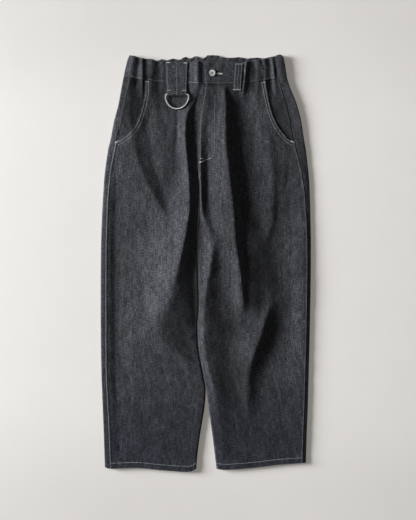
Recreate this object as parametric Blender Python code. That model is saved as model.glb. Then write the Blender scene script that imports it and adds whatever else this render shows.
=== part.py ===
"""Wide-leg jeans laid flat on their back: waist towards +Y, hems towards -Y, the front facing +Z.

Every cloth piece is a thin wall. Its place across and along the garment is read in pixels of the
reference photograph and turned into metres by one scale. Heights and thicknesses are in metres.
"""

import math

import bmesh
import bpy
import numpy as np

for old in list(bpy.data.objects):
    bpy.data.objects.remove(old, do_unlink=True)

# Driving dimensions, in metres
LENGTH = 0.957  # highest point of the waistband to the lowest point of the hems
CLOTH = 0.0015  # one layer of raw denim with its seam allowance
BAND = 0.0030  # waistband: two layers round an elastic
HEM = 0.0019  # turned-up hem
GAP = 0.0003  # between sewn pieces, and between a piece and what lies on it
STEP = 0.0008  # how far the waistband stands above the panels at its seam
REST_HEIGHT = 0.0080  # top of the front where it lies quiet
LAPPED_HEIGHT = 0.0061  # lowest top of the front under the waistband
LEAST_HEIGHT = 0.0036  # lowest top of the front where it lies on the back
SOFT_FLOOR = 0.0007  # how gently a hollow flattens out there
SIDE_ROLL = 0.0028  # half width of the fold at the outer sides
INNER_ROLL = 0.0045  # half width of the fold at the inner legs
INSEAM_HEIGHT = 0.0025  # height of the inseam above the floor
LAP_SPARE = 0.00015  # more room where one grid lies under another
FLY_BLEND = 9.0  # columns over which the left front goes down under the fly
FACING = 0.0012  # pocket facing

# Rows and columns of the photograph that the cloth reaches
TOP_PY, BOTTOM_PY = 55.3, 471.3
LEFT_PX, RIGHT_PX = 100.8, 310.8
PIXEL = LENGTH / (BOTTOM_PY - TOP_PY)

# Rows where the pieces begin and end, before the seam and the hem bend them
SEAM_ROW, FLY_END, CROTCH, SPLIT_ROW, HEM_STITCH, HEM_ROW = 84.0, 158.0, 205.0, 378.0, 462.0, 468.0
TOP_ROW = 62.6  # the waistband's free edge
LIFT_END = 150.0  # the waist seam's curve has faded out here
HEM_BEND_START = 400.0  # the hem's curve begins here

# Edges of the left and right halves: row of the photograph, column of the photograph
OUTER = {
    "left": [(84, 124), (95, 121.8), (110, 118.6), (125, 114), (140, 110.7), (150, 108.2), (160, 106.6),
             (178, 104.5), (200, 103), (220, 102), (240, 101.3), (270, 100.9), (300, 100.8), (340, 101),
             (370, 101.5), (400, 102.6), (431, 103.8), (468, 105)],
    "right": [(84, 286.3), (95, 290), (110, 296.8), (125, 301.3), (140, 303.9), (150, 305.7), (160, 307),
              (180, 309), (200, 309.9), (220, 310.4), (245, 310.8), (270, 310.7), (300, 310.3),
              (340, 309.5), (370, 308.7), (400, 307.9), (431, 306.8), (468, 305.8)],
}
SIDE_SEAM = {
    "left": [(84, 130), (95, 127), (110, 123.3), (125, 120), (140, 116.5), (150, 114.3), (173, 110),
             (196, 107.7), (227, 106.3), (254, 105.7), (300, 105.6), (340, 105.6), (370, 105.8),
             (400, 107.2), (431, 108.8), (468, 110.3)],
    "right": [(84, 279), (95, 282), (110, 286.8), (125, 290.6), (140, 293.8), (150, 296.2), (160, 298.6),
              (173, 301.7), (196, 305), (227, 306.9), (254, 307.6), (300, 307.1), (340, 306.3),
              (370, 305.5), (400, 304.7), (431, 303.6), (468, 302.6)],
}
POCKET_MOUTH = {
    "left": [(84, 144.6), (94, 145), (106, 143), (120, 139), (129, 134.3), (135, 128.6), (139.5, 122.5),
             (142.5, 115.95)],
    "right": [(84, 264.8), (94, 267), (104, 269), (116, 272.2), (127, 277.5), (135, 283.5), (140, 289),
              (143, 294.5)],
}
POCKET_END = {"left": 142.5, "right": 143.0}
FLY_EDGE = [(84, 203.8), (95, 202), (108, 199.5), (120, 197.8), (140, 197.2), (156, 197.9), (176, 198.6),
            (187, 199.6), (199, 199.3), (212, 198.5), (225, 198), (250, 198), (280, 198.5), (305, 199),
            (325, 197.6), (345, 198.3), (365, 201.5), (378, 204), (390, 206.5), (416, 209.9), (439, 213),
            (468, 216.5)]
INNER_LEG_LEFT = [(378, 204), (390, 205.9), (400, 205.4), (408, 204.6), (424, 202), (439, 199.6),
                  (455, 197.6), (468, 196.4)]

# Outline and side seams of the waistband: part of its width above the seam, column
BAND_OUTER = {
    "left": [(0, 124), (0.35, 125.4), (0.7, 127), (1, 129.3)],
    "right": [(0, 286.8), (0.4, 285.6), (0.7, 285), (1, 283.6)],
}
BAND_SEAM = {"left": [(0, 130), (0.5, 131.6), (1, 133.4)], "right": [(0, 279), (0.5, 277.4), (1, 275.4)]}

# Curved edges across the garment: column of the photograph, row of the photograph
WAIST_SEAM = [(123, 75.5), (130, 77.5), (145, 80.7), (166, 83), (188, 84.1), (205, 84.4), (225, 84.2),
              (245, 83.4), (255, 82.3), (266, 80.6), (275, 78.9), (287, 76.5)]
FRONT_TOP = [(129, 56), (134, 56.6), (141, 58.6), (146, 59.6), (152, 59.8), (157.5, 61.8), (161, 60.6),
             (165, 61.8), (170, 62.8), (188, 62.6), (205, 62.5), (225, 62.9), (243, 63.4), (249, 61.6),
             (256, 61), (264, 60), (270, 58.4), (276, 56.6), (280, 55.6), (284.5, 60)]
BACK_TOP = [(129, 56), (134, 56.5), (141, 58), (146, 59), (152, 59.2), (157, 61.2), (162, 59.4),
            (167, 60.6), (173, 58.8), (179, 60), (185.5, 57.2), (190, 58.6), (196, 56.4), (203.5, 58.4),
            (208, 55.4), (216, 55.4), (223, 57.4), (230, 58), (239, 57.4), (247, 58.6), (257, 57.8),
            (263, 58.6), (270, 57.2), (276, 56.2), (280, 55.3), (284.5, 60)]
HEM_EDGE = {
    "left": [(105, 466.8), (110, 468.2), (136, 467.4), (159, 469.5), (188, 471.3), (193, 470.2),
             (197, 467.4)],
    "right": [(216, 468.3), (225, 469.2), (254, 467.2), (276, 464.6), (306, 462.2)],
}

# Folds of the front: row, column of the crest, height, and how far it spreads to its left and its
# right, the last three in millimetres. A negative height is a hollow.
FOLDS = {
    "left": {
        "thigh_crest": [(90, 199, 0, 8, 8), (98, 196, 1.2, 12, 8), (106, 192, 3.4, 12, 8),
                        (114, 188, 7, 13, 9), (122, 186, 10, 13, 9), (135, 185.5, 12.5, 13, 9),
                        (160, 187.5, 14, 13, 9), (185, 189.5, 15, 19, 9), (207, 190, 15.5, 34, 9),
                        (225, 187.5, 16, 48, 10), (245, 184, 16.5, 56, 12), (262, 179.5, 16.5, 59, 16),
                        (280, 175, 16, 59, 25), (297, 170.5, 15, 58, 35), (315, 165, 13.5, 57, 44),
                        (330, 161, 11.5, 55, 50), (340, 164, 9.2, 56, 44), (350, 174, 7, 58, 30),
                        (360, 186, 4, 58, 20), (370, 197, 0, 58, 14)],
        "side_hollow": [(150, 121, 0, 9, 18), (190, 116.5, -2.6, 10, 20), (230, 115.5, -4.2, 10, 22),
                        (290, 115.5, -4.8, 10, 22), (340, 115.5, -4.4, 10, 22), (400, 117, -2.6, 10, 22),
                        (440, 119, -1.6, 10, 22), (460, 120, 0, 10, 22)],
        "side_fall": [(60, 124, 1.5, 14, 16), (100, 120, 1.2, 14, 16), (150, 108, 0, 10, 10),
                      (190, 104, 0.4, 10, 10), (340, 104, 0.6, 10, 10), (468, 105, -0.8, 10, 9)],
        "hip_crest": [(88, 131, 0, 8, 9), (110, 130, 2.4, 12, 11), (135, 131.5, 3.8, 22, 12),
                      (160, 138, 4.8, 35, 13), (180, 146, 5, 45, 13), (197, 155, 4.4, 45, 12),
                      (210, 162, 2.6, 35, 10), (224, 169, 0, 30, 10)],
        "hip_hollow": [(92, 144, 0, 10, 14), (115, 146, -2, 10, 16), (150, 150, -2.8, 12, 18),
                       (180, 159, -2.4, 12, 16), (205, 167, -1.5, 10, 12), (220, 172, 0, 10, 12)],
        "ring_crease": [(106, 177.5, 0, 4, 5), (118, 177.5, -2, 5, 5), (135, 177, -3, 5, 5),
                        (150, 176, -1.5, 5, 5), (166, 174, 0, 5, 5)],
        "fly_hollow": [(60, 204, -2.4, 6, 40), (88, 204, -2.4, 6, 40), (100, 198, -3, 8, 30),
                       (120, 193, -3.6, 9, 30), (150, 194, -3.8, 8, 30), (205, 196, -3.2, 9, 16),
                       (260, 194, -3.6, 11, 16), (290, 194, -3.8, 12, 16), (325, 196, -3.6, 11, 16),
                       (345, 198, -2, 10, 12), (366, 202, 0, 8, 10)],
    },
    "right": {
        "fly_step": [(60, 206, 1.6, 12, 26), (95, 206, 1.6, 12, 22), (120, 203, 1, 10, 16),
                     (150, 202, 0, 8, 12)],
        "edge_crest": [(110, 201, 0, 6, 6), (135, 201, 3, 7, 8), (165, 200.5, 7, 7, 8),
                       (185, 200.5, 8, 7, 7), (210, 202, 8.5, 8, 10), (228, 208, 7.5, 16, 18),
                       (244, 213, 8, 24, 15), (262, 211, 9.6, 22, 13), (285, 207, 10.2, 14, 20),
                       (310, 204, 10.8, 11, 30), (330, 203.5, 10.8, 10, 38), (360, 207, 9.4, 10, 40),
                       (378, 212, 8.4, 13, 32), (392, 216, 7, 16, 26), (408, 219, 5.2, 18, 26),
                       (426, 221, 3.6, 22, 26), (450, 222, 2.2, 20, 22), (468, 222, 1, 18, 18)],
        "fly_dip": [(104, 208, 0, 5, 6), (122, 208, -1.5, 5, 6), (150, 208, -1, 5, 6),
                    (178, 207.5, -2, 6, 6), (191, 207.5, -2.2, 6, 6), (206, 206.5, -1, 6, 6),
                    (222, 206, 0, 6, 6)],
        "front_crest": [(84, 223.5, 0, 10, 8), (94, 225, 7, 14, 7), (105, 226, 11.5, 20, 8),
                        (120, 225.5, 13.5, 24, 9), (135, 226, 15, 27, 10), (150, 226.5, 16, 29, 10),
                        (165, 228.5, 17, 32, 10), (180, 230, 18, 36, 10), (195, 232, 18.5, 39, 10),
                        (210, 233.5, 17.5, 42, 10), (225, 234.5, 16, 42, 10), (240, 235.5, 14, 38, 9.5),
                        (255, 237.5, 13, 28, 9), (270, 239.5, 12, 24, 9), (285, 241, 10, 22, 9),
                        (300, 242, 7, 20, 9), (315, 241, 3, 18, 12), (330, 240, 0, 18, 14)],
        "front_shoulder": [(192, 232, 0, 30, 50), (210, 233.5, 1.5, 36, 60), (225, 235, 3, 34, 70),
                           (240, 236, 5, 34, 82), (255, 238, 6.4, 28, 88), (270, 240, 7.6, 24, 90),
                           (285, 242, 8.4, 22, 88), (300, 244, 7.6, 20, 84), (312, 246, 4.8, 20, 74),
                           (324, 248, 0, 20, 60)],
        "front_hollow": [(86, 241, 0, 8, 18), (102, 241, -3.4, 12, 30), (130, 241, -4.2, 12, 40),
                         (180, 247, -4.4, 12, 40), (210, 251, -4.4, 14, 42), (230, 259, -3.8, 18, 40),
                         (255, 270, -3.6, 26, 34), (270, 276, -3.8, 30, 32), (285, 281, -4, 30, 28),
                         (300, 284, -4, 28, 24), (314, 284, -4, 24, 24), (330, 280, -4, 20, 30),
                         (350, 273, -3.8, 18, 36), (370, 266, -3.3, 16, 36), (390, 262, -2.5, 14, 34),
                         (410, 260, -1.3, 14, 30), (430, 258, 0, 14, 24)],
        "hip_crest": [(100, 262, 0, 14, 14), (125, 266, 1.8, 18, 18), (150, 269, 3, 22, 16),
                      (180, 273, 3.4, 22, 9), (210, 273, 4.2, 24, 8), (225, 271, 4, 22, 8),
                      (240, 266, 3, 22, 10), (260, 259, 0, 22, 12)],
        "knee_crest": [(300, 273, 0, 14, 10), (309, 268.5, 4.5, 22, 11), (319, 265, 11, 32, 12),
                       (332, 262, 14.5, 36, 12), (347, 256, 13.5, 34, 12), (362, 251.5, 10.5, 30, 13),
                       (377, 248.5, 7.4, 24, 14), (392, 247.5, 5, 20, 14), (408, 247.5, 2.6, 16, 14),
                       (428, 248, 0, 14, 12)],
        "side_crest": [(150, 300, 0, 24, 8), (200, 303, 0.6, 30, 8), (250, 303.5, 1.4, 30, 8),
                       (300, 303.5, 2, 26, 8), (350, 302.5, 1.8, 30, 8), (380, 301, 1.2, 30, 8),
                       (440, 299, 0.3, 28, 8), (464, 298, 0, 24, 8)],
        "side_fall": [(60, 282, 1.6, 22, 16), (84, 286, 1.6, 22, 16), (110, 297, 0.8, 18, 14),
                      (135, 304, -0.6, 9, 14), (160, 308, -2.8, 8, 14), (190, 311, -4, 7.5, 14),
                      (250, 312, -4.2, 7.5, 14), (400, 310, -4.2, 7.5, 14), (468, 307, -3.2, 7.5, 14)],
    },
}

SHARPNESS = 1.6  # how round a fold's crest is: 2 is round, and 1 is a knife edge

# Gathers that the elastic draws in: column at the waistband's top and at its seam, height in
# millimetres, half width in pixels, and the row where they have run out.
GATHERS = {
    "left": [(134, 131, 2.2, 3.2, 104), (138.6, 137, -1.6, 1.8, 98), (142, 142.4, 3.4, 1.9, 112),
             (146.5, 146.5, -1.8, 1.9, 100), (152, 151, 2.6, 3.0, 118), (159.4, 158.6, -2.0, 2.2, 100),
             (163.6, 163, 0.8, 1.8, 96), (196, 194.5, 1.6, 4.2, 100)],
    "right": [(246.4, 243.6, 3.2, 1.8, 102), (251, 249.4, -1.8, 2.8, 112), (259, 257.6, 2.2, 3.2, 120),
              (264.4, 265.4, 1.4, 1.8, 100), (268.2, 270.4, -2.0, 1.6, 104), (272, 274.4, 2.0, 1.8, 104),
              (279, 281.4, 1.6, 3.0, 100)],
}
BACK_RIPPLE = 0.0018  # how far the back waistband's gathers stand up at its free edge
BACK_RIPPLE_PITCH = 6.4  # columns from one of them to the next
RIPPLE_START = 0.86  # part of the back waistband's width where they begin
RIPPLE_SPAN = (162.0, 170.0, 254.0, 262.0)  # columns between which they rise and fade

# What lies on the waistband, in columns and rows of the photograph
FLY_UNDERLAP = 2.0  # how far the left front runs on under the fly
UNDERLAP_FADE = 8.0  # rows below the fly over which that ends
BAND_UNDERLAP_END = 215.0  # the left waistband ends here, under the right one
BAND_LAP_START = 204.6  # the right waistband begins here
POCKET_UNDERLAP = 2  # columns of the front's grid that the facing runs on under
TAB_TOP_EDGES, TAB_FOLD_EDGES = (165.8, 187.9), (167.3, 186.6)  # the ring's tab at its top and its fold
TAB_TOP, TAB_BARTACK, RING_BAR = 63.2, 90.6, 95.0
RING_PX = 176.95
LOOP_TOP = (234.9, 242.9, 64.4)  # left column, right column, row
LOOP_BOTTOM = (233.0, 241.0, 91.6)
BUTTON_PX, BUTTON_PY = 212.2, 73.6

# The belt loop, the tab, the ring and the button, in metres
STRIP = 0.0016  # thickness of the belt loop and of the ring's tab
LOOP_BOW = 0.0018  # how far the belt loop stands off at its middle
RING_WIRE = 0.0019  # radius of the ring's wire
RING_HALF = 0.0265  # half width of the ring, to the middle of its wire
RING_DROP = 0.0327  # how far the ring hangs below its bar, to the middle of its wire
RING_CORNER = 0.0044  # radius of the ring's two corners
RING_CLEAR = 0.0005  # between the ring's bar and the tab, and under the ring
# The button's profile: radius and height above the cloth
BUTTON_PROFILE = [(0.0, 0.0), (0.0042, 0.0), (0.0042, 0.0009), (0.0079, 0.0013), (0.0085, 0.0020),
                  (0.0081, 0.0028), (0.0072, 0.0032), (0.0062, 0.0030), (0.0055, 0.0028), (0.0, 0.0034)]
BUTTON_SIDES = 24

# Grids
FRONT_COLUMNS, TURN_COLUMNS, FLOOR_COLUMNS = 17, 3, 9
POCKET_ROWS, LEG_ROWS = 11, 20
CROWDING = 1.4  # how much closer the rows lie at the pocket's end, and a back's columns at its side
BAND_ROWS = (0.0, 0.35, 0.72, 1.0)
BACK_BAND_ROWS = (0.0, 0.5, RIPPLE_START, 1.0)
BAND_PITCH = 1.75  # columns of the photograph from one column of the waistband's grid to the next


def across(px):
    """Metres to the right of the garment's middle."""
    return (np.asarray(px, float) - (LEFT_PX + RIGHT_PX) / 2) * PIXEL


def along(py):
    """Metres towards the waist from the garment's middle."""
    return ((TOP_PY + BOTTOM_PY) / 2 - np.asarray(py, float)) * PIXEL


def smooth(places, values, at):
    """The values between a table's places, on a smooth curve that never overshoots them."""
    places, values, at = (np.asarray(a, float) for a in (places, values, at))
    wide = np.diff(places)
    slope = np.diff(values) / wide
    tangent = np.zeros(len(places))
    same = slope[:-1] * slope[1:] > 0
    total = wide[:-1] + wide[1:]
    first, second = (total + wide[1:]) / (3 * total), (total + wide[:-1]) / (3 * total)
    safe = np.where(same, first * slope[1:] + second * slope[:-1], 1)
    tangent[1:-1] = np.where(same, slope[:-1] * slope[1:] / safe, 0)
    tangent[0], tangent[-1] = slope[0], slope[-1]
    inside = np.clip(at, places[0], places[-1])
    k = np.clip(np.searchsorted(places, inside, side="right") - 1, 0, len(wide) - 1)
    t = (inside - places[k]) / wide[k]
    return (
        values[k] * (1 + 2 * t) * (1 - t) ** 2
        + tangent[k] * wide[k] * t * (1 - t) ** 2
        + values[k + 1] * t**2 * (3 - 2 * t)
        + tangent[k + 1] * wide[k] * t**2 * (t - 1)
    )


def read(table, at):
    """A two-column table read at some places."""
    places, values = zip(*table)
    return smooth(places, values, at)


def ease(low, high, at):
    """0 before low, 1 after high, and a smooth rise between them."""
    t = np.clip((np.asarray(at, float) - low) / (high - low), 0, 1)
    return t * t * (3 - 2 * t)


def fold_height(table, px, row):
    """Height that one fold adds, in metres."""
    rows, crests, heights, lefts, rights = zip(*table)
    crest, height = smooth(rows, crests, row), smooth(rows, heights, row)
    reach = np.where(px < crest, smooth(rows, lefts, row), smooth(rows, rights, row)) / 1000
    return height / 1000 * np.exp(-((np.abs(px - crest) * PIXEL / reach) ** SHARPNESS))


def gather_height(gather, px, row):
    """Height that one gather of the waist adds, in metres."""
    top_px, seam_px, height, half, end = gather
    crest = seam_px + (top_px - seam_px) * (SEAM_ROW - row) / (SEAM_ROW - TOP_ROW)
    fade = 1 - ease(SEAM_ROW + 4, end, row)
    return height / 1000 * fade * np.exp(-(((px - crest) / half) ** 2))


def plain_height(side, px, row):
    """Height of one half's outer face above the floor, before the fly laps it."""
    px, row = np.broadcast_arrays(np.asarray(px, float), np.asarray(row, float))
    height = np.full(px.shape, REST_HEIGHT)
    for table in FOLDS[side].values():
        height = height + fold_height(table, px, row)
    for gather in GATHERS[side]:
        height = height + gather_height(gather, px, row)
    least = LEAST_HEIGHT + (LAPPED_HEIGHT - LEAST_HEIGHT) * (1 - ease(SEAM_ROW + 1, SEAM_ROW + 14, row))
    return least + SOFT_FLOOR * np.logaddexp(0, (height - least) / SOFT_FLOOR)


def slope_factor(side, px, row):
    """How much longer a vertical depth is than the same depth square to the cloth."""
    step = 0.5
    over = plain_height(side, px + step, row) - plain_height(side, px - step, row)
    down = plain_height(side, px, row + step) - plain_height(side, px, row - step)
    return np.sqrt(1 + (over**2 + down**2) / (2 * step * PIXEL) ** 2)


def top_height(side, px, row, lap=CLOTH):
    """Height of the front's outer face. The left front goes under the right one at the fly."""
    px, row = np.broadcast_arrays(np.asarray(px, float), np.asarray(row, float))
    height = plain_height(side, px, row)
    if side == "right":
        return height
    edge = read(FLY_EDGE, row)
    under = plain_height("right", np.maximum(px, edge), row)
    under = under - (lap + GAP + LAP_SPARE) * slope_factor("right", np.maximum(px, edge), row)
    share = ease(edge - FLY_BLEND, edge - 1, px) * (1 - ease(FLY_END + UNDERLAP_FADE, CROTCH, row))
    return height + (under - height) * share


def photo_row(side, px, row):
    """The row of the photograph where a point of a panel lies, bent along the waist seam and the hem."""
    lift = (read(WAIST_SEAM, px) - SEAM_ROW) * (1 - ease(SEAM_ROW, LIFT_END, row))
    drop = (read(HEM_EDGE[side], px) - HEM_ROW) * ease(HEM_BEND_START, HEM_ROW, row)
    return row + lift + drop


def outwards(side):
    """+1 where the outer side lies at higher columns, -1 where it lies at lower ones."""
    return 1 if side == "right" else -1


def inner_edge(side, row):
    """Column of a half's inner edge: the fly, then the inner leg."""
    edge = read(FLY_EDGE, row)
    if side == "right":
        return edge
    return np.where(row > SPLIT_ROW, read(INNER_LEG_LEFT, row), edge) - GAP / PIXEL


def front_edge(side, row):
    """Column of the front panel's outer edge: the pocket's mouth, then the side seam."""
    seam, mouth = read(SIDE_SEAM[side], row), read(POCKET_MOUTH[side], row)
    return np.where(row < POCKET_END[side], mouth, seam) - outwards(side) * GAP / 2 / PIXEL


def panel_rows(side):
    """Rows of the cross-sections from the waist seam to the hem, close together by the pocket."""
    pocket = POCKET_END[side] - (POCKET_END[side] - SEAM_ROW) * np.linspace(1, 0, POCKET_ROWS) ** CROWDING
    fly = [FLY_END - UNDERLAP_FADE, FLY_END, FLY_END + UNDERLAP_FADE]
    leg = np.linspace(fly[-1], HEM_STITCH - 1, LEG_ROWS)[1:]
    return np.concatenate([pocket, fly, leg, [HEM_STITCH, HEM_ROW]])[:, None]


def quarter(steps):
    """Angles of a quarter turn after its start."""
    return np.linspace(0, math.pi / 2, steps + 1)[None, 1:]


def front_columns(side, rows):
    """Columns of a front's grid in each row, from its outer edge to its inner one."""
    out = outwards(side)
    start, end, roll = front_edge(side, rows), inner_edge(side, rows), INNER_ROLL / PIXEL
    if side == "left":
        lapped = rows <= FLY_END
        end = np.where(lapped, end + FLY_UNDERLAP, end)
        roll = np.where(lapped, roll + 1, roll)
    brim = end + out * roll
    flat = start + (brim - start) * np.linspace(0, 1, FRONT_COLUMNS)[None, :]
    return np.concatenate([flat, brim - out * roll * np.sin(quarter(TURN_COLUMNS))], axis=1)


def placed(side, px, row, height, shift=0.0):
    """Points in metres from columns, rows and heights. shift moves the waist edge off its seam."""
    y = along(photo_row(side, px, row)) - shift
    return np.stack(np.broadcast_arrays(across(px), y, height), axis=-1)


def seam_shift(rows):
    """Half the gap of the waist seam in its own row, and nothing elsewhere."""
    return GAP / 2 * (rows == SEAM_ROW)


def hem_thickness(rows):
    """The wall's thickness, which the turned-up hem doubles."""
    return np.where(rows >= HEM_STITCH, HEM, CLOTH)


def front_panel(side, material):
    """One front: from the pocket's mouth or side seam to the fly or inseam, rolled down at the leg."""
    rows = panel_rows(side)
    px = front_columns(side, rows)
    height = top_height(side, px, rows)
    turned = np.concatenate([np.zeros((1, FRONT_COLUMNS)), 1 - np.cos(quarter(TURN_COLUMNS))], axis=1)
    low = INSEAM_HEIGHT + GAP / 2
    rolled = ease(FLY_END + UNDERLAP_FADE, CROTCH - 6, rows)
    height = height - (height - low) * turned * rolled
    points = placed(side, px, rows, height, seam_shift(rows))
    return sided_wall(f"front_{side}", side, points, hem_thickness(rows), (0, rolled[:, 0]), material)


def back_panel(side, material):
    """One back: flat on the floor, rolled up at the inseam, and folded over the side to its seam."""
    rows = panel_rows(side)
    out = outwards(side)
    outer, seam = read(OUTER[side], rows), read(SIDE_SEAM[side], rows) + out * GAP / 2 / PIXEL
    inner, roll, side_roll = inner_edge(side, rows), INNER_ROLL / PIXEL, SIDE_ROLL / PIXEL
    raised = ease(CROTCH - 4, CROTCH + 12, rows)
    rise = quarter(TURN_COLUMNS)
    inner_px = inner + out * roll * (1 - np.sin(rise[:, ::-1]))
    inner_height = (INSEAM_HEIGHT - GAP / 2) * raised * (1 - np.cos(rise[:, ::-1]))
    brim, foot = outer - out * side_roll, inner + out * roll
    floor_px = brim + (foot - brim) * np.linspace(1, 0, FLOOR_COLUMNS)[None, :] ** CROWDING
    side_px, side_height = side_turn(side, brim, rows, top_height(side, brim, rows))
    strip_px = brim + (seam - brim) * np.array([[0.5, 1.0]])
    strip_height = top_height(side, strip_px, rows)
    px = np.concatenate([inner_px, floor_px, side_px, strip_px], axis=1)
    height = np.concatenate([inner_height, 0 * floor_px, side_height, strip_height], axis=1)
    points = placed(side, px, rows, height, seam_shift(rows))
    return sided_wall(f"back_{side}", side, points, hem_thickness(rows), (raised[:, 0], 0), material)


def side_turn(side, brim, rows, top):
    """Columns and heights of the half turn at the outer side, from the floor up to the front."""
    out, middle = outwards(side), top / 2
    lower, upper = quarter(TURN_COLUMNS), quarter(TURN_COLUMNS)
    roll = SIDE_ROLL / PIXEL
    px = np.concatenate([brim + out * roll * np.sin(lower), brim + out * roll * np.cos(upper)], axis=1)
    height = np.concatenate([middle * (1 - np.cos(lower)), middle + (top - middle) * np.sin(upper)], axis=1)
    return px, height


def pocket_facing(side, material):
    """The piece that shows in a pocket's mouth: level at the side seam, then under the front."""
    rows = np.concatenate([panel_rows(side)[:POCKET_ROWS - 1], [[POCKET_END[side] - 0.7]]])
    out = outwards(side)
    seam, mouth = read(SIDE_SEAM[side], rows) - out * GAP / 2 / PIXEL, front_edge(side, rows)
    part = np.linspace(0, 1, 5)[None, :-1]
    under = front_columns(side, rows)[:, :POCKET_UNDERLAP + 1]
    px = np.concatenate([seam + (mouth - seam) * part, under], axis=1)
    parts = np.concatenate([part, np.ones((1, POCKET_UNDERLAP + 1))], axis=1)
    sunk = np.maximum(ease(0, 0.7, parts), ease(POCKET_END[side] - 18, POCKET_END[side] - 8, rows))
    depth = (CLOTH + GAP + LAP_SPARE) * slope_factor(side, px, rows) * sunk
    points = placed(side, px, rows, top_height(side, px, rows) - depth, seam_shift(rows))
    return sided_wall(f"pocket_facing_{side}", side, points, FACING, (0, 0), material)


def band_point(side, px, part, top_table, height):
    """Points of the waistband, part of the way from its seam to its top edge."""
    low, high = read(WAIST_SEAM, px), read(top_table, px)
    y = along(low + (high - low) * part) + GAP / 2 * (part == 0)
    return np.stack(np.broadcast_arrays(across(px), y, height), axis=-1)


def band_height(side, px, part):
    """Height of the waistband's outer face, a step above the panels."""
    row = SEAM_ROW - (SEAM_ROW - TOP_ROW) * part
    return top_height(side, px, row, BAND) + STEP


def band_front(side, material):
    """One half of the front waistband, from the side seam to its end at the fly."""
    parts = np.array(BAND_ROWS)[:, None]
    start = read(BAND_SEAM[side], parts) - outwards(side) * GAP / 2 / PIXEL
    end = BAND_UNDERLAP_END if side == "left" else BAND_LAP_START
    count = round(abs(end - BAND_SEAM[side][0][1]) / BAND_PITCH) + 1
    px = start + (end - start) * np.linspace(0, 1, count)[None, :]
    height = band_height(side, px, parts)
    points = band_point(side, px, parts, FRONT_TOP, height)[::-1]
    return sided_wall(f"waistband_front_{side}", side, points, BAND, (0, 0), material, seam_row=-1)


def back_ripple(px, part):
    """How far the back waistband's gathers lift it off the floor at its free edge."""
    span = ease(*RIPPLE_SPAN[:2], px) * (1 - ease(*RIPPLE_SPAN[2:], px))
    wave = (1 - np.cos(2 * math.pi * (px - RIPPLE_SPAN[0]) / BACK_RIPPLE_PITCH)) / 2
    return BACK_RIPPLE * span * ease(RIPPLE_START, 1, part) * wave


def band_back(material):
    """The back waistband: flat on the floor and folded over both sides to the side seams."""
    parts = np.array(BACK_BAND_ROWS)[:, None]
    sides = {}
    for side in ("left", "right"):
        out = outwards(side)
        brim = read(BAND_OUTER[side], parts) - out * SIDE_ROLL / PIXEL
        seam = read(BAND_SEAM[side], parts) + out * GAP / 2 / PIXEL
        turn_px, turn_height = side_turn(side, brim, parts, band_height(side, brim, parts))
        strip_px = brim + (seam - brim) * np.array([[0.5, 1.0]])
        strip_height = band_height(side, strip_px, parts)
        edge_px = np.concatenate([turn_px, strip_px], axis=1)
        sides[side] = brim, edge_px, np.concatenate([turn_height, strip_height], axis=1)
    left_brim, left_px, left_height = sides["left"]
    right_brim, right_px, right_height = sides["right"]
    count = round((BAND_OUTER["right"][0][1] - BAND_OUTER["left"][0][1]) / BAND_PITCH)
    floor_px = left_brim + (right_brim - left_brim) * np.linspace(0, 1, count)[None, :]
    floor_height = back_ripple(floor_px, parts)
    px = np.concatenate([left_px[:, ::-1], floor_px, right_px], axis=1)
    height = np.concatenate([left_height[:, ::-1], floor_height, right_height], axis=1)
    points = band_point("left", px, parts, BACK_TOP, height)[::-1, ::-1]
    return wall("waistband_back", points, BAND, (0, 0), material, seam_row=-1)


def sided_wall(name, side, points, thickness, level, material, seam_row=0):
    """A wall whose columns run from one side's outer edge, or its inner one, to the other."""
    if side == "right":
        points, level = points[:, ::-1], level[::-1]
    return wall(name, points, thickness, level, material, seam_row)


def wall(name, outer, thickness, level, material, seam_row=0):
    """A closed wall under a grid of outer points, with its inner points moved in along the normals.

    outer has the shape (rows, columns, 3), with its rows from the waist down and its columns to the
    right as seen from outside. The end faces in the waist seam's row stand upright, and so do those
    of the first and last column, except where level, from 0 to 1 for each of those two, lays them
    down, as at an inseam. So two pieces that meet stay clear of each other.
    """
    normal = np.cross(np.gradient(outer, axis=0), np.gradient(outer, axis=1))
    normal[seam_row, :, 1] = 0
    for column, share in zip((0, -1), level):
        normal[:, column, 0] *= share
        normal[:, column, 2] *= 1 - np.asarray(share)
    normal /= np.linalg.norm(normal, axis=2, keepdims=True)
    inner = outer - normal * np.broadcast_to(thickness, outer.shape[:2])[..., None]
    rows, columns = outer.shape[:2]
    number = np.arange(rows * columns).reshape(rows, columns)
    below = number + rows * columns
    faces = []
    for r in range(rows - 1):
        for c in range(columns - 1):
            faces.append((number[r, c], number[r + 1, c], number[r + 1, c + 1], number[r, c + 1]))
            faces.append((below[r, c], below[r, c + 1], below[r + 1, c + 1], below[r + 1, c]))
    rim = [(0, c) for c in range(columns)] + [(r, columns - 1) for r in range(1, rows)]
    rim += [(rows - 1, c) for c in range(columns - 2, -1, -1)] + [(r, 0) for r in range(rows - 2, 0, -1)]
    for a, b in zip(rim, rim[1:] + rim[:1]):
        faces.append((number[a], number[b], below[b], below[a]))
    points = np.concatenate([outer.reshape(-1, 3), inner.reshape(-1, 3)])
    mesh = bpy.data.meshes.new(name)
    mesh.from_pydata(points.tolist(), [], [[int(i) for i in face] for face in faces])
    return finish(name, mesh, material)


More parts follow.
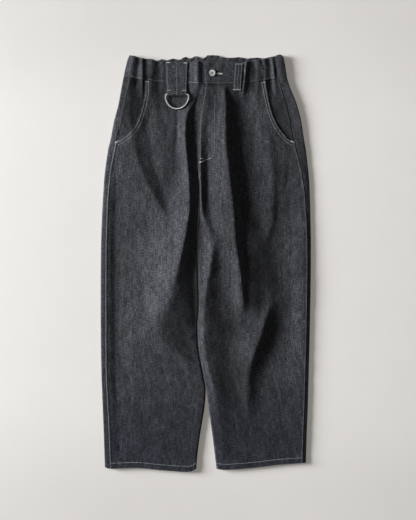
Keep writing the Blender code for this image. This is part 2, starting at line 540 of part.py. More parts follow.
def finish(name, mesh, material, round_angle=40):
    """Makes a mesh's faces point out, shades it smooth and links its object."""
    shape = bmesh.new()
    shape.from_mesh(mesh)
    bmesh.ops.triangulate(shape, faces=shape.faces[:])
    bmesh.ops.recalc_face_normals(shape, faces=shape.faces[:])
    if shape.calc_volume(signed=True) < 0:
        bmesh.ops.reverse_faces(shape, faces=shape.faces[:])
    shape.to_mesh(mesh)
    shape.free()
    mesh.shade_smooth()
    mesh.set_sharp_from_angle(angle=math.radians(round_angle))
    mesh.materials.append(material)
    made = bpy.data.objects.new(name, mesh)
    bpy.context.scene.collection.objects.link(made)
    return made


def strip(name, lower, edges, material):
    """A band of cloth between two edges, from the middle line of its under side.

    lower lists places on that line as metres along the garment and metres up. edges gives the left
    and right columns at each of them.
    """
    line = np.array(lower, float)
    heading = np.gradient(line, axis=0)
    heading /= np.linalg.norm(heading, axis=1, keepdims=True)
    upper = line + STRIP * np.stack([heading[:, 1], -heading[:, 0]], axis=1)
    ring = np.concatenate([line, upper[::-1]])
    sides = np.concatenate([edges, edges[::-1]])
    points = [(across(left), y, z) for (left, _), (y, z) in zip(sides, ring)]
    points += [(across(right), y, z) for (_, right), (y, z) in zip(sides, ring)]
    count, last = len(ring), len(line)
    faces = [(i, (i + 1) % count, (i + 1) % count + count, i + count) for i in range(count)]
    for i in range(last - 1):
        a, b, c, d = i, i + 1, count - 2 - i, count - 1 - i
        faces.append((a, d, c, b))
        faces.append((a + count, b + count, c + count, d + count))
    mesh = bpy.data.meshes.new(name)
    mesh.from_pydata(points, [], faces)
    return finish(name, mesh, material)


def ground(side, left, right, row):
    """Highest point of the front between two columns at one row, on the waistband or on the panel."""
    px = np.linspace(left, right, 9)
    seam = read(WAIST_SEAM, px)
    part = (seam - row) / (seam - read(FRONT_TOP, px))
    on_band = band_height(side, px, np.clip(part, 0, 1))
    on_panel = top_height(side, px, np.maximum(row + SEAM_ROW - seam, SEAM_ROW))
    return float(np.max(np.where(part > -0.03, on_band, on_panel)))


def belt_loop(material):
    """The plain belt loop, sewn at both ends and a little proud between them."""
    share = np.linspace(0, 1, 13)
    top, bottom = np.array(LOOP_TOP), np.array(LOOP_BOTTOM)
    places = top + (bottom - top) * share[:, None]
    bow = LOOP_BOW * np.sin(math.pi * share)
    height = [ground("right", left, right, row) for left, right, row in places]
    lower = np.stack([along(places[:, 2]), np.array(height) + GAP + bow], axis=1)
    return strip("belt_loop", lower, places[:, :2], material)


def ring_bar_height():
    """Height of the middle of the ring's bar: on the tab's under layer, which lies on the front."""
    floor = max(ground("left", *TAB_FOLD_EDGES, row) for row in (TAB_BARTACK, RING_BAR, RING_BAR + 2))
    return floor + GAP + STRIP + RING_CLEAR + RING_WIRE


def ring_tab(material):
    """The wide tab: down over the waistband, round the ring's bar and back up to its bartacks."""
    bar_y, bar_z = float(along(RING_BAR)), ring_bar_height()
    inside = RING_WIRE + RING_CLEAR
    rows = np.linspace(TAB_TOP, TAB_BARTACK, 12)
    share = (rows - TAB_TOP) / (RING_BAR - TAB_TOP)
    left = TAB_TOP_EDGES[0] + (TAB_FOLD_EDGES[0] - TAB_TOP_EDGES[0]) * share
    right = TAB_TOP_EDGES[1] + (TAB_FOLD_EDGES[1] - TAB_TOP_EDGES[1]) * share
    lower = []
    for row, a, b in zip(rows, left, right):
        rise = ease(TAB_BARTACK - 9, TAB_BARTACK, row)
        rest = ground("left", a, b, row) + GAP
        under = bar_z - inside + GAP
        lower.append((float(along(row)), rest + (max(under, rest) - rest) * float(rise)))
    for angle in np.radians(np.linspace(100, -90, 12)):
        lower.append((bar_y - inside * math.cos(angle), bar_z + inside * math.sin(angle)))
    end = float(along(TAB_BARTACK + 0.9))
    lower.append(((bar_y + end) / 2, bar_z - inside))
    lower.append((end, bar_z - inside))
    left = np.concatenate([left, np.full(len(lower) - len(rows), TAB_FOLD_EDGES[0])])
    right = np.concatenate([right, np.full(len(lower) - len(rows), TAB_FOLD_EDGES[1])])
    return strip("ring_tab", lower, np.stack([left, right], axis=1), material)


def ring_path():
    """Middle of the ring's wire in its own plane: across, and down from its bar."""
    bar = RING_HALF - RING_CORNER
    path = [(bar * t, 0.0) for t in np.linspace(-1, 1, 5)]
    for angle in np.radians(np.linspace(0, 90, 5))[1:]:
        path.append((bar + RING_CORNER * math.sin(angle), RING_CORNER * (1 - math.cos(angle))))
    for angle in np.radians(np.linspace(0, 180, 19))[1:]:
        path.append((RING_HALF * math.cos(angle), RING_CORNER + (RING_DROP - RING_CORNER) * math.sin(angle)))
    for angle in np.radians(np.linspace(90, 0, 5))[1:-1]:
        path.append((-bar - RING_CORNER * math.sin(angle), RING_CORNER * (1 - math.cos(angle))))
    return path


def ring_tilt(path, bar_z):
    """Smallest angle to the floor at which the ring clears the front below it."""
    tilt = -1.0
    for over, down in path:
        if down > 2 * RING_WIRE:
            px = RING_PX + over / PIXEL
            floor = ground("left", px - 1, px + 1, RING_BAR + down / PIXEL)
            tilt = max(tilt, (floor + RING_WIRE + RING_CLEAR - bar_z) / down)
    return math.atan(tilt)


def d_ring(material):
    """The ring: one closed wire, whose bar lies in the tab."""
    path = ring_path()
    bar_z = ring_bar_height()
    tilt = ring_tilt(path, bar_z)
    sides, count = 8, len(path)
    middle = np.array([(over, -down, 0.0) for over, down in path])
    heading = np.roll(middle, -1, axis=0) - np.roll(middle, 1, axis=0)
    heading /= np.linalg.norm(heading, axis=1, keepdims=True)
    aside = np.cross(heading, (0, 0, 1))
    dip_cos, dip_sin = math.cos(tilt), math.sin(tilt)
    points = []
    for place, out in zip(middle, aside):
        for k in range(sides):
            angle = 2 * math.pi * (k + 0.5) / sides
            x, y, z = place + RING_WIRE * (math.cos(angle) * out + math.sin(angle) * np.array((0, 0, 1)))
            points.append((x, y * dip_cos + z * dip_sin, z * dip_cos - y * dip_sin))
    faces = []
    for i in range(count):
        for k in range(sides):
            here, after = i * sides, (i + 1) % count * sides
            faces.append((here + k, here + (k + 1) % sides, after + (k + 1) % sides, after + k))
    mesh = bpy.data.meshes.new("d_ring")
    mesh.from_pydata(points, [], faces)
    made = finish("d_ring", mesh, material)
    made.location = (float(across(RING_PX)), float(along(RING_BAR)), bar_z)
    print(f"ring bar at {tuple(round(v, 5) for v in made.location)}, tilted {math.degrees(tilt):.2f} degrees")
    return made


def button(material):
    """The waistband's button, turned from its profile and seated square to the cloth."""
    mesh = bpy.data.meshes.new("button")
    shape = bmesh.new()
    profile = [shape.verts.new((radius, 0, height)) for radius, height in BUTTON_PROFILE]
    lines = [shape.edges.new(pair) for pair in zip(profile, profile[1:])]
    bmesh.ops.spin(shape, geom=profile + lines, cent=(0, 0, 0), axis=(0, 0, 1), angle=2 * math.pi,
                   steps=BUTTON_SIDES, use_merge=True, use_duplicate=False)
    bmesh.ops.remove_doubles(shape, verts=shape.verts[:], dist=1e-6)
    shape.to_mesh(mesh)
    shape.free()
    made = finish("button", mesh, material, 60)
    reach = BUTTON_PROFILE[1][0] / PIXEL
    px, row = BUTTON_PX, BUTTON_PY
    left, right = (ground("right", px + s * reach, px + s * reach, row) for s in (-1, 1))
    up, down = (ground("right", px, px, row + s * reach) for s in (-1, 1))
    lean_x, lean_y = (right - left) / (2 * reach * PIXEL), (up - down) / (2 * reach * PIXEL)
    made.rotation_euler = (math.atan(lean_y), -math.atan(lean_x), 0)
    made.location = (float(across(px)), float(along(row)), ground("right", px - reach, px + reach, row) + GAP)
    return made


def surface(name, colour, roughness, metallic):
    """A Principled material in one colour."""
    made = bpy.data.materials.new(name)
    made.use_nodes = True
    shader = made.node_tree.nodes["Principled BSDF"]
    shader.inputs["Base Color"].default_value = (*colour, 1)
    shader.inputs["Roughness"].default_value = roughness
    shader.inputs["Metallic"].default_value = metallic
    return made


def build():
    """Makes every piece."""
    denim = surface("denim", (0.028, 0.030, 0.036), 0.9, 0.0)
    facing = surface("facing_denim", (0.020, 0.022, 0.027), 0.9, 0.0)
    steel = surface("nickelled_metal", (0.72, 0.73, 0.74), 0.25, 1.0)
    for side in ("left", "right"):
        front_panel(side, denim)
        back_panel(side, denim)
        pocket_facing(side, facing)
        band_front(side, denim)
    band_back(denim)
    belt_loop(denim)
    ring_tab(denim)
    d_ring(steel)
    button(steel)


build()
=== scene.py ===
# %% [markdown]
# # Wide-leg jeans, laid flat
#
# The real object is a pair of dark raw-denim jeans lying on its back, seen from straight above. The
# solids of the part are already right in shape and size, so this script keeps to them and adds what
# makes cloth look like cloth: finer folds, a weave, sewing and metal. It starts by loading the
# solids.

# %% Load the solids
import math

import bpy
import numpy as np
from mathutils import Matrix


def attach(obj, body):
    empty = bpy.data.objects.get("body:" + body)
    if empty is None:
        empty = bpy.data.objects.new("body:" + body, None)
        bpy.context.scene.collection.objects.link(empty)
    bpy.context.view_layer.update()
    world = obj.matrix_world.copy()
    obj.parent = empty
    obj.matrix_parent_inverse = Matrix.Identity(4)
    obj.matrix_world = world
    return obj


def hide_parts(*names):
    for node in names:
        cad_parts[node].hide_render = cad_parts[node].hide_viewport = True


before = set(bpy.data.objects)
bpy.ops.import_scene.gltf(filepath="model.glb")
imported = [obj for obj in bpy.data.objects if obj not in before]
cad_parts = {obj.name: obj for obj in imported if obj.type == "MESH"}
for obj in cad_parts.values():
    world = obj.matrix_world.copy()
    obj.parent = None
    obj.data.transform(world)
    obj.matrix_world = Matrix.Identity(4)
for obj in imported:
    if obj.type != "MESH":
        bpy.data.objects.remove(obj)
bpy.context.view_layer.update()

# %% [markdown]
# ## One scale for everything
#
# The jeans were drawn from a photograph, so each place on them is easiest to name by its column and
# row there. One number turns those into metres. It comes from the length of the garment, from the
# top of the waistband to the lowest point of the hems.

# %% Scale and view
LENGTH = 0.957
TOP_PY, BOTTOM_PY = 55.3, 471.3
LEFT_PX, RIGHT_PX = 100.8, 310.8
PIXEL = LENGTH / (BOTTOM_PY - TOP_PY)
PICTURE_WIDTH, PICTURE_HEIGHT = 416, 520
CAMERA_HEIGHT = 2.6  # metres above the floor
SENSOR = 36.0  # millimetres, along the picture's long side


def across(px):
    """Metres to the right of the garment's middle."""
    return (np.asarray(px, float) - (LEFT_PX + RIGHT_PX) / 2) * PIXEL


def along(py):
    """Metres towards the waist from the garment's middle."""
    return ((TOP_PY + BOTTOM_PY) / 2 - np.asarray(py, float)) * PIXEL


def linked(name, data):
    """A new object in the scene."""
    made = bpy.data.objects.new(name, data)
    bpy.context.scene.collection.objects.link(made)
    return made


lens = bpy.data.cameras.new("view")
lens.sensor_width = SENSOR
lens.lens = SENSOR * CAMERA_HEIGHT / (PICTURE_HEIGHT * PIXEL)
camera = linked("view", lens)
camera.location = (float(across(PICTURE_WIDTH / 2)), float(along(PICTURE_HEIGHT / 2)), CAMERA_HEIGHT)
bpy.context.scene.camera = camera
print(f"one column is {1000 * PIXEL:.3f} mm, and the lens is {lens.lens:.1f} mm")

# %% [markdown]
# ## Node trees written as sums
#
# A weave is a sum of many small patterns, and long chains of Math nodes are hard to read. A small
# class wraps a socket, so that an ordinary Python expression adds the nodes. One method adds every
# other kind of node, its settings first and then its sockets, and short ones stand for the kinds
# used most. The materials and the sewing are both written with them.

# %% Helpers for node trees
class Wire:
    """The output of a node. Python's operators on it add Math nodes."""

    def __init__(self, graph, output):
        self.graph, self.output = graph, output

    def maths(self, operation, *values):
        """Adds a Math node that works on these values."""
        return self.graph.add("ShaderNodeMath", {"operation": operation}, dict(enumerate(values)))

    def __add__(self, other):
        return self.maths("ADD", self, other)

    def __sub__(self, other):
        return self.maths("SUBTRACT", self, other)

    def __rsub__(self, other):
        return self.maths("SUBTRACT", other, self)

    def __mul__(self, other):
        return self.maths("MULTIPLY", self, other)

    def __truediv__(self, other):
        return self.maths("DIVIDE", self, other)

    def __pow__(self, other):
        return self.maths("POWER", self, other)

    __radd__, __rmul__ = __add__, __mul__

    def wave(self):
        """The sine of 2 pi times this value, moved into 0 to 1."""
        turns = self * (2 * math.pi)
        return turns.maths("SINE", turns) * 0.5 + 0.5

    def rise(self, low, high):
        """0 where this value is under low, 1 over high, and smooth between them."""
        sockets = {"Value": self, "From Min": low, "From Max": high}
        return self.graph.add("ShaderNodeMapRange", {"interpolation_type": "SMOOTHSTEP"}, sockets)


class Graph:
    """A node tree, with one method that adds any node, and short ones for those used most."""

    def __init__(self, tree):
        self.tree = tree

    def add(self, kind, settings=None, inputs=None, output=0):
        """Adds a node and gives one of its outputs, with its settings made before its sockets."""
        node = self.tree.nodes.new(kind)
        for name, value in (settings or {}).items():
            setattr(node, name, value)
        for key, value in (inputs or {}).items():
            self.feed(node.inputs[key], value)
        return Wire(self, node.outputs[output])

    def feed(self, socket, value):
        """Links a wire to a socket, or sets the socket's own value."""
        if isinstance(value, Wire):
            self.tree.links.new(value.output, socket)
        else:
            socket.default_value = value

    def fill(self, node, values):
        """Feeds several sockets of a node by their names."""
        for name, value in values.items():
            self.feed(node.inputs[name], value)

    def blend(self, share, low, high, kind="MIX"):
        """A colour between two others, or with MULTIPLY, one that is tinted by another."""
        sockets = {"Factor": share, 6: low, 7: high}
        return self.add("ShaderNodeMix", {"data_type": "RGBA", "blend_type": kind}, sockets, output=2)

    def times(self, vector, factor):
        """A vector or colour times another, part by part."""
        return self.add("ShaderNodeVectorMath", {"operation": "MULTIPLY"}, {0: vector, 1: factor})

    def split(self, vector, axis):
        """One of a vector's three parts."""
        return self.add("ShaderNodeSeparateXYZ", None, {"Vector": vector}, output=axis)

    def join(self, x=0.0, y=0.0, z=0.0):
        """A vector of three parts."""
        return self.add("ShaderNodeCombineXYZ", None, {"X": x, "Y": y, "Z": z})

    def object_place(self):
        """Object coordinates, in which a pattern keeps still on its piece."""
        return self.add("ShaderNodeTexCoord", None, None, output="Object")

    def mark(self, name):
        """An attribute that the mesh carries."""
        return self.add("ShaderNodeAttribute", {"attribute_name": name}, None, output="Fac")

    def noise(self, place, scale, detail, roughness=0.5, dimensions="3D"):
        """A noise from 0 to 1."""
        sockets = {"Vector": place, "Scale": scale, "Detail": detail, "Roughness": roughness}
        return self.add("ShaderNodeTexNoise", {"noise_dimensions": dimensions}, sockets)

    def bump(self, strength, distance, height):
        """A normal that makes a height look raised."""
        sockets = {"Strength": strength, "Distance": distance, "Height": height}
        return self.add("ShaderNodeBump", None, sockets)


def new_finish(name):
    """A new material, its graph and its shader."""
    material = bpy.data.materials.new(name)
    material.use_nodes = True
    return material, Graph(material.node_tree), material.node_tree.nodes["Principled BSDF"]


print("helpers ready")

# %% [markdown]
# ## Where the pieces meet
#
# A pair of jeans is drafted as flat panels, and what the eye checks first is where their edges run.
# These tables hold those edges as places on the picture: the outer sides, the side seams, the
# pockets, the fly and the waist. They are the same as in the part's source, so each piece made here
# lies on its solid. An edge could be a curve object too, but a table is easier to correct by hand.

# %% Edges of the panels
SIDES = ("left", "right")
SEAM_ROW, FLY_END, CROTCH, SPLIT_ROW, HEM_STITCH, HEM_ROW = 84.0, 158.0, 205.0, 378.0, 462.0, 468.0
TOP_ROW = 62.6  # the waistband's free edge
LIFT_END = 150.0  # the waist seam's curve has faded out here
HEM_BEND_START = 400.0  # the hem's curve begins here

# Edges of the left and right halves: row of the photograph, column of the photograph
OUTER = {
    "left": [
        (84, 124), (95, 121.8), (110, 118.6), (125, 114), (140, 110.7), (150, 108.2), (160, 106.6),
        (178, 104.5), (200, 103), (220, 102), (240, 101.3), (270, 100.9), (300, 100.8), (340, 101),
        (370, 101.5), (400, 102.6), (431, 103.8), (468, 105),
    ],
    "right": [
        (84, 286.3), (95, 290), (110, 296.8), (125, 301.3), (140, 303.9), (150, 305.7), (160, 307),
        (180, 309), (200, 309.9), (220, 310.4), (245, 310.8), (270, 310.7), (300, 310.3), (340, 309.5),
        (370, 308.7), (400, 307.9), (431, 306.8), (468, 305.8),
    ],
}
SIDE_SEAM = {
    "left": [
        (84, 130), (95, 127), (110, 123.3), (125, 120), (140, 116.5), (150, 114.3), (173, 110),
        (196, 107.7), (227, 106.3), (254, 105.7), (300, 105.6), (340, 105.6), (370, 105.8), (400, 107.2),
        (431, 108.8), (468, 110.3),
    ],
    "right": [
        (84, 279), (95, 282), (110, 286.8), (125, 290.6), (140, 293.8), (150, 296.2), (160, 298.6),
        (173, 301.7), (196, 305), (227, 306.9), (254, 307.6), (300, 307.1), (340, 306.3), (370, 305.5),
        (400, 304.7), (431, 303.6), (468, 302.6),
    ],
}
POCKET_MOUTH = {
    "left": [
        (84, 144.6), (94, 145), (106, 143), (120, 139), (129, 134.3), (135, 128.6), (139.5, 122.5),
        (142.5, 115.95),
    ],
    "right": [
        (84, 264.8), (94, 267), (104, 269), (116, 272.2), (127, 277.5), (135, 283.5), (140, 289),
        (143, 294.5),
    ],
}
POCKET_END = {"left": 142.5, "right": 143.0}
FLY_EDGE = [
    (84, 203.8), (95, 202), (108, 199.5), (120, 197.8), (140, 197.2), (156, 197.9), (176, 198.6),
    (187, 199.6), (199, 199.3), (212, 198.5), (225, 198), (250, 198), (280, 198.5), (305, 199),
    (325, 197.6), (345, 198.3), (365, 201.5), (378, 204), (390, 206.5), (416, 209.9), (439, 213),
    (468, 216.5),
]
INNER_LEG_LEFT = [
    (378, 204), (390, 205.9), (400, 205.4), (408, 204.6), (424, 202), (439, 199.6), (455, 197.6),
    (468, 196.4),
]

# Outline and side seams of the waistband: part of its width above the seam, column
BAND_OUTER = {
    "left": [(0, 124), (0.35, 125.4), (0.7, 127), (1, 129.3)],
    "right": [(0, 286.8), (0.4, 285.6), (0.7, 285), (1, 283.6)],
}
BAND_SEAM = {"left": [(0, 130), (0.5, 131.6), (1, 133.4)], "right": [(0, 279), (0.5, 277.4), (1, 275.4)]}

# Curved edges across the garment: column of the photograph, row of the photograph
WAIST_SEAM = [
    (123, 75.5), (130, 77.5), (145, 80.7), (166, 83), (188, 84.1), (205, 84.4), (225, 84.2), (245, 83.4),
    (255, 82.3), (266, 80.6), (275, 78.9), (287, 76.5),
]
FRONT_TOP = [
    (129, 56), (134, 56.6), (141, 58.6), (146, 59.6), (152, 59.8), (157.5, 61.8), (161, 60.6),
    (165, 61.8), (170, 62.8), (188, 62.6), (205, 62.5), (225, 62.9), (243, 63.4), (249, 61.6), (256, 61),
    (264, 60), (270, 58.4), (276, 56.6), (280, 55.6), (284.5, 60),
]
BACK_TOP = [
    (129, 56), (134, 56.5), (141, 58), (146, 59), (152, 59.2), (157, 61.2), (162, 59.4), (167, 60.6),
    (173, 58.8), (179, 60), (185.5, 57.2), (190, 58.6), (196, 56.4), (203.5, 58.4), (208, 55.4),
    (216, 55.4), (223, 57.4), (230, 58), (239, 57.4), (247, 58.6), (257, 57.8), (263, 58.6), (270, 57.2),
    (276, 56.2), (280, 55.3), (284.5, 60),
]
HEM_EDGE = {
    "left": [
        (105, 466.8), (110, 468.2), (136, 467.4), (159, 469.5), (188, 471.3), (193, 470.2), (197, 467.4),
    ],
    "right": [
        (216, 468.3), (225, 469.2), (254, 467.2), (276, 464.6), (306, 462.2),
    ],
}


def smooth(places, values, at):
    """The values between a table's places, on a smooth curve that never overshoots them."""
    places, values, at = (np.asarray(a, float) for a in (places, values, at))
    wide = np.diff(places)
    slope = np.diff(values) / wide
    tangent = np.zeros(len(places))
    same = slope[:-1] * slope[1:] > 0
    total = wide[:-1] + wide[1:]
    first, second = (total + wide[1:]) / (3 * total), (total + wide[:-1]) / (3 * total)
    safe = np.where(same, first * slope[1:] + second * slope[:-1], 1)
    tangent[1:-1] = np.where(same, slope[:-1] * slope[1:] / safe, 0)
    tangent[0], tangent[-1] = slope[0], slope[-1]
    inside = np.clip(at, places[0], places[-1])
    k = np.clip(np.searchsorted(places, inside, side="right") - 1, 0, len(wide) - 1)
    t = (inside - places[k]) / wide[k]
    return (
        values[k] * (1 + 2 * t) * (1 - t) ** 2
        + tangent[k] * wide[k] * t * (1 - t) ** 2
        + values[k + 1] * t**2 * (3 - 2 * t)
        + tangent[k + 1] * wide[k] * t**2 * (t - 1)
    )


def read(table, at):
    """A two-column table read at some places."""
    places, values = zip(*table)
    return smooth(places, values, at)


def ease(low, high, at):
    """0 before low, 1 after high, and a smooth rise between them."""
    t = np.clip((np.asarray(at, float) - low) / (high - low), 0, 1)
    return t * t * (3 - 2 * t)


def bell(far, reach, power=2):
    """1 at a middle, and smoothly less away from it, by how far it is and how wide the bell is."""
    return np.exp(-(np.abs(far / reach) ** power))


def outwards(side):
    """+1 where the outer side lies at higher columns, -1 where it lies at lower ones."""
    return 1 if side == "right" else -1


print("waist seam to hem, mm:", round(1000 * (HEM_ROW - SEAM_ROW) * PIXEL))

# %% [markdown]
# ## The large folds
#
# Stiff raw denim doesn't hang in a thousand wrinkles. It stands up in a few long, soft ridges, and
# one flank of each lies in deep shade. Each fold here is a line of crests down the leg, with a
# height and two widths, because the two flanks of a real fold are never alike. A cloth simulation
# could find such folds by itself, but not these ones, in these places.

# %% Folds and gathers
# Folds of the front: row, column of the crest, height, and how far it spreads to its left and its
# right, the last three in millimetres. A negative height is a hollow.
FOLDS = {
    "left": {
        "thigh_crest": [
            (90, 199, 0, 8, 8), (98, 196, 1.2, 12, 8), (106, 192, 3.4, 12, 8), (114, 188, 7, 13, 9),
            (122, 186, 10, 13, 9), (135, 185.5, 12.5, 13, 9), (160, 187.5, 14, 13, 9),
            (185, 189.5, 15, 19, 9), (207, 190, 15.5, 34, 9), (225, 187.5, 16, 48, 10),
            (245, 184, 16.5, 56, 12), (262, 179.5, 16.5, 59, 16), (280, 175, 16, 59, 25),
            (297, 170.5, 15, 58, 35), (315, 165, 13.5, 57, 44), (330, 161, 11.5, 55, 50),
            (340, 164, 9.2, 56, 44), (350, 174, 7, 58, 30), (360, 186, 4, 58, 20), (370, 197, 0, 58, 14),
        ],
        "side_hollow": [
            (150, 121, 0, 9, 18), (190, 116.5, -2.6, 10, 20), (230, 115.5, -4.2, 10, 22),
            (290, 115.5, -4.8, 10, 22), (340, 115.5, -4.4, 10, 22), (400, 117, -2.6, 10, 22),
            (440, 119, -1.6, 10, 22), (460, 120, 0, 10, 22),
        ],
        "side_fall": [
            (60, 124, 1.5, 14, 16), (100, 120, 1.2, 14, 16), (150, 108, 0, 10, 10),
            (190, 104, 0.4, 10, 10), (340, 104, 0.6, 10, 10), (468, 105, -0.8, 10, 9),
        ],
        "hip_crest": [
            (88, 131, 0, 8, 9), (110, 130, 2.4, 12, 11), (135, 131.5, 3.8, 22, 12),
            (160, 138, 4.8, 35, 13), (180, 146, 5, 45, 13), (197, 155, 4.4, 45, 12),
            (210, 162, 2.6, 35, 10), (224, 169, 0, 30, 10),
        ],
        "hip_hollow": [
            (92, 144, 0, 10, 14), (115, 146, -2, 10, 16), (150, 150, -2.8, 12, 18),
            (180, 159, -2.4, 12, 16), (205, 167, -1.5, 10, 12), (220, 172, 0, 10, 12),
        ],
        "ring_crease": [
            (106, 177.5, 0, 4, 5), (118, 177.5, -2, 5, 5), (135, 177, -3, 5, 5), (150, 176, -1.5, 5, 5),
            (166, 174, 0, 5, 5),
        ],
        "fly_hollow": [
            (60, 204, -2.4, 6, 40), (88, 204, -2.4, 6, 40), (100, 198, -3, 8, 30),
            (120, 193, -3.6, 9, 30), (150, 194, -3.8, 8, 30), (205, 196, -3.2, 9, 16),
            (260, 194, -3.6, 11, 16), (290, 194, -3.8, 12, 16), (325, 196, -3.6, 11, 16),
            (345, 198, -2, 10, 12), (366, 202, 0, 8, 10),
        ],
    },
    "right": {
        "fly_step": [
            (60, 206, 1.6, 12, 26), (95, 206, 1.6, 12, 22), (120, 203, 1, 10, 16), (150, 202, 0, 8, 12),
        ],
        "edge_crest": [
            (110, 201, 0, 6, 6), (135, 201, 3, 7, 8), (165, 200.5, 7, 7, 8), (185, 200.5, 8, 7, 7),
            (210, 202, 8.5, 8, 10), (228, 208, 7.5, 16, 18), (244, 213, 8, 24, 15),
            (262, 211, 9.6, 22, 13), (285, 207, 10.2, 14, 20), (310, 204, 10.8, 11, 30),
            (330, 203.5, 10.8, 10, 38), (360, 207, 9.4, 10, 40), (378, 212, 8.4, 13, 32),
            (392, 216, 7, 16, 26), (408, 219, 5.2, 18, 26), (426, 221, 3.6, 22, 26),
            (450, 222, 2.2, 20, 22), (468, 222, 1, 18, 18),
        ],
        "fly_dip": [
            (104, 208, 0, 5, 6), (122, 208, -1.5, 5, 6), (150, 208, -1, 5, 6), (178, 207.5, -2, 6, 6),
            (191, 207.5, -2.2, 6, 6), (206, 206.5, -1, 6, 6), (222, 206, 0, 6, 6),
        ],
        "front_crest": [
            (84, 223.5, 0, 10, 8), (94, 225, 7, 14, 7), (105, 226, 11.5, 20, 8),
            (120, 225.5, 13.5, 24, 9), (135, 226, 15, 27, 10), (150, 226.5, 16, 29, 10),
            (165, 228.5, 17, 32, 10), (180, 230, 18, 36, 10), (195, 232, 18.5, 39, 10),
            (210, 233.5, 17.5, 42, 10), (225, 234.5, 16, 42, 10), (240, 235.5, 14, 38, 9.5),
            (255, 237.5, 13, 28, 9), (270, 239.5, 12, 24, 9), (285, 241, 10, 22, 9), (300, 242, 7, 20, 9),
            (315, 241, 3, 18, 12), (330, 240, 0, 18, 14),
        ],
        "front_shoulder": [
            (192, 232, 0, 30, 50), (210, 233.5, 1.5, 36, 60), (225, 235, 3, 34, 70),
            (240, 236, 5, 34, 82), (255, 238, 6.4, 28, 88), (270, 240, 7.6, 24, 90),
            (285, 242, 8.4, 22, 88), (300, 244, 7.6, 20, 84), (312, 246, 4.8, 20, 74),
            (324, 248, 0, 20, 60),
        ],
        "front_hollow": [
            (86, 241, 0, 8, 18), (102, 241, -3.4, 12, 30), (130, 241, -4.2, 12, 40),
            (180, 247, -4.4, 12, 40), (210, 251, -4.4, 14, 42), (230, 259, -3.8, 18, 40),
            (255, 270, -3.6, 26, 34), (270, 276, -3.8, 30, 32), (285, 281, -4, 30, 28),
            (300, 284, -4, 28, 24), (314, 284, -4, 24, 24), (330, 280, -4, 20, 30),
            (350, 273, -3.8, 18, 36), (370, 266, -3.3, 16, 36), (390, 262, -2.5, 14, 34),
            (410, 260, -1.3, 14, 30), (430, 258, 0, 14, 24),
        ],
        "hip_crest": [
            (100, 262, 0, 14, 14), (125, 266, 1.8, 18, 18), (150, 269, 3, 22, 16), (180, 273, 3.4, 22, 9),
            (210, 273, 4.2, 24, 8), (225, 271, 4, 22, 8), (240, 266, 3, 22, 10), (260, 259, 0, 22, 12),
        ],
        "knee_crest": [
            (300, 273, 0, 14, 10), (309, 268.5, 4.5, 22, 11), (319, 265, 11, 32, 12),
            (332, 262, 14.5, 36, 12), (347, 256, 13.5, 34, 12), (362, 251.5, 10.5, 30, 13),
            (377, 248.5, 7.4, 24, 14), (392, 247.5, 5, 20, 14), (408, 247.5, 2.6, 16, 14),
            (428, 248, 0, 14, 12),
        ],
        "side_crest": [
            (150, 300, 0, 24, 8), (200, 303, 0.6, 30, 8), (250, 303.5, 1.4, 30, 8),
            (300, 303.5, 2, 26, 8), (350, 302.5, 1.8, 30, 8), (380, 301, 1.2, 30, 8),
            (440, 299, 0.3, 28, 8), (464, 298, 0, 24, 8),
        ],
        "side_fall": [
            (60, 282, 1.6, 22, 16), (84, 286, 1.6, 22, 16), (110, 297, 0.8, 18, 14),
            (135, 304, -0.6, 9, 14), (160, 308, -2.8, 8, 14), (190, 311, -4, 7.5, 14),
            (250, 312, -4.2, 7.5, 14), (400, 310, -4.2, 7.5, 14), (468, 307, -3.2, 7.5, 14),
        ],
    },
}

# Gathers that the elastic draws in: column at the waistband's top and at its seam, height in
# millimetres, half width in pixels, and the row where they have run out.
GATHERS = {
    "left": [
        (134, 131, 2.2, 3.2, 104), (138.6, 137, -1.6, 1.8, 98), (142, 142.4, 3.4, 1.9, 112),
        (146.5, 146.5, -1.8, 1.9, 100), (152, 151, 2.6, 3, 118), (159.4, 158.6, -2, 2.2, 100),
        (163.6, 163, 0.8, 1.8, 96), (196, 194.5, 1.6, 4.2, 100),
    ],
    "right": [
        (246.4, 243.6, 3.2, 1.8, 102), (251, 249.4, -1.8, 2.8, 112), (259, 257.6, 2.2, 3.2, 120),
        (264.4, 265.4, 1.4, 1.8, 100), (268.2, 270.4, -2, 1.6, 104), (272, 274.4, 2, 1.8, 104),
        (279, 281.4, 1.6, 3, 100),
    ],
}
SHARPNESS = 1.6  # 2 gives a round crest, and 1 a knife edge


def fold_height(table, px, row):
    """Height that one fold adds, in metres."""
    rows, crests, heights, lefts, rights = zip(*table)
    crest, height = smooth(rows, crests, row), smooth(rows, heights, row)
    reach = np.where(px < crest, smooth(rows, lefts, row), smooth(rows, rights, row)) / 1000
    return height / 1000 * bell((px - crest) * PIXEL, reach, SHARPNESS)


def gather_height(gather, px, row):
    """Height that one gather of the waist adds, in metres."""
    top_px, seam_px, height, half, end = gather
    crest = seam_px + (top_px - seam_px) * (SEAM_ROW - row) / (SEAM_ROW - TOP_ROW)
    fade = 1 - ease(SEAM_ROW + 4, end, row)
    return height / 1000 * fade * bell(px - crest, half)


print("folds:", {side: len(table) for side, table in FOLDS.items()})
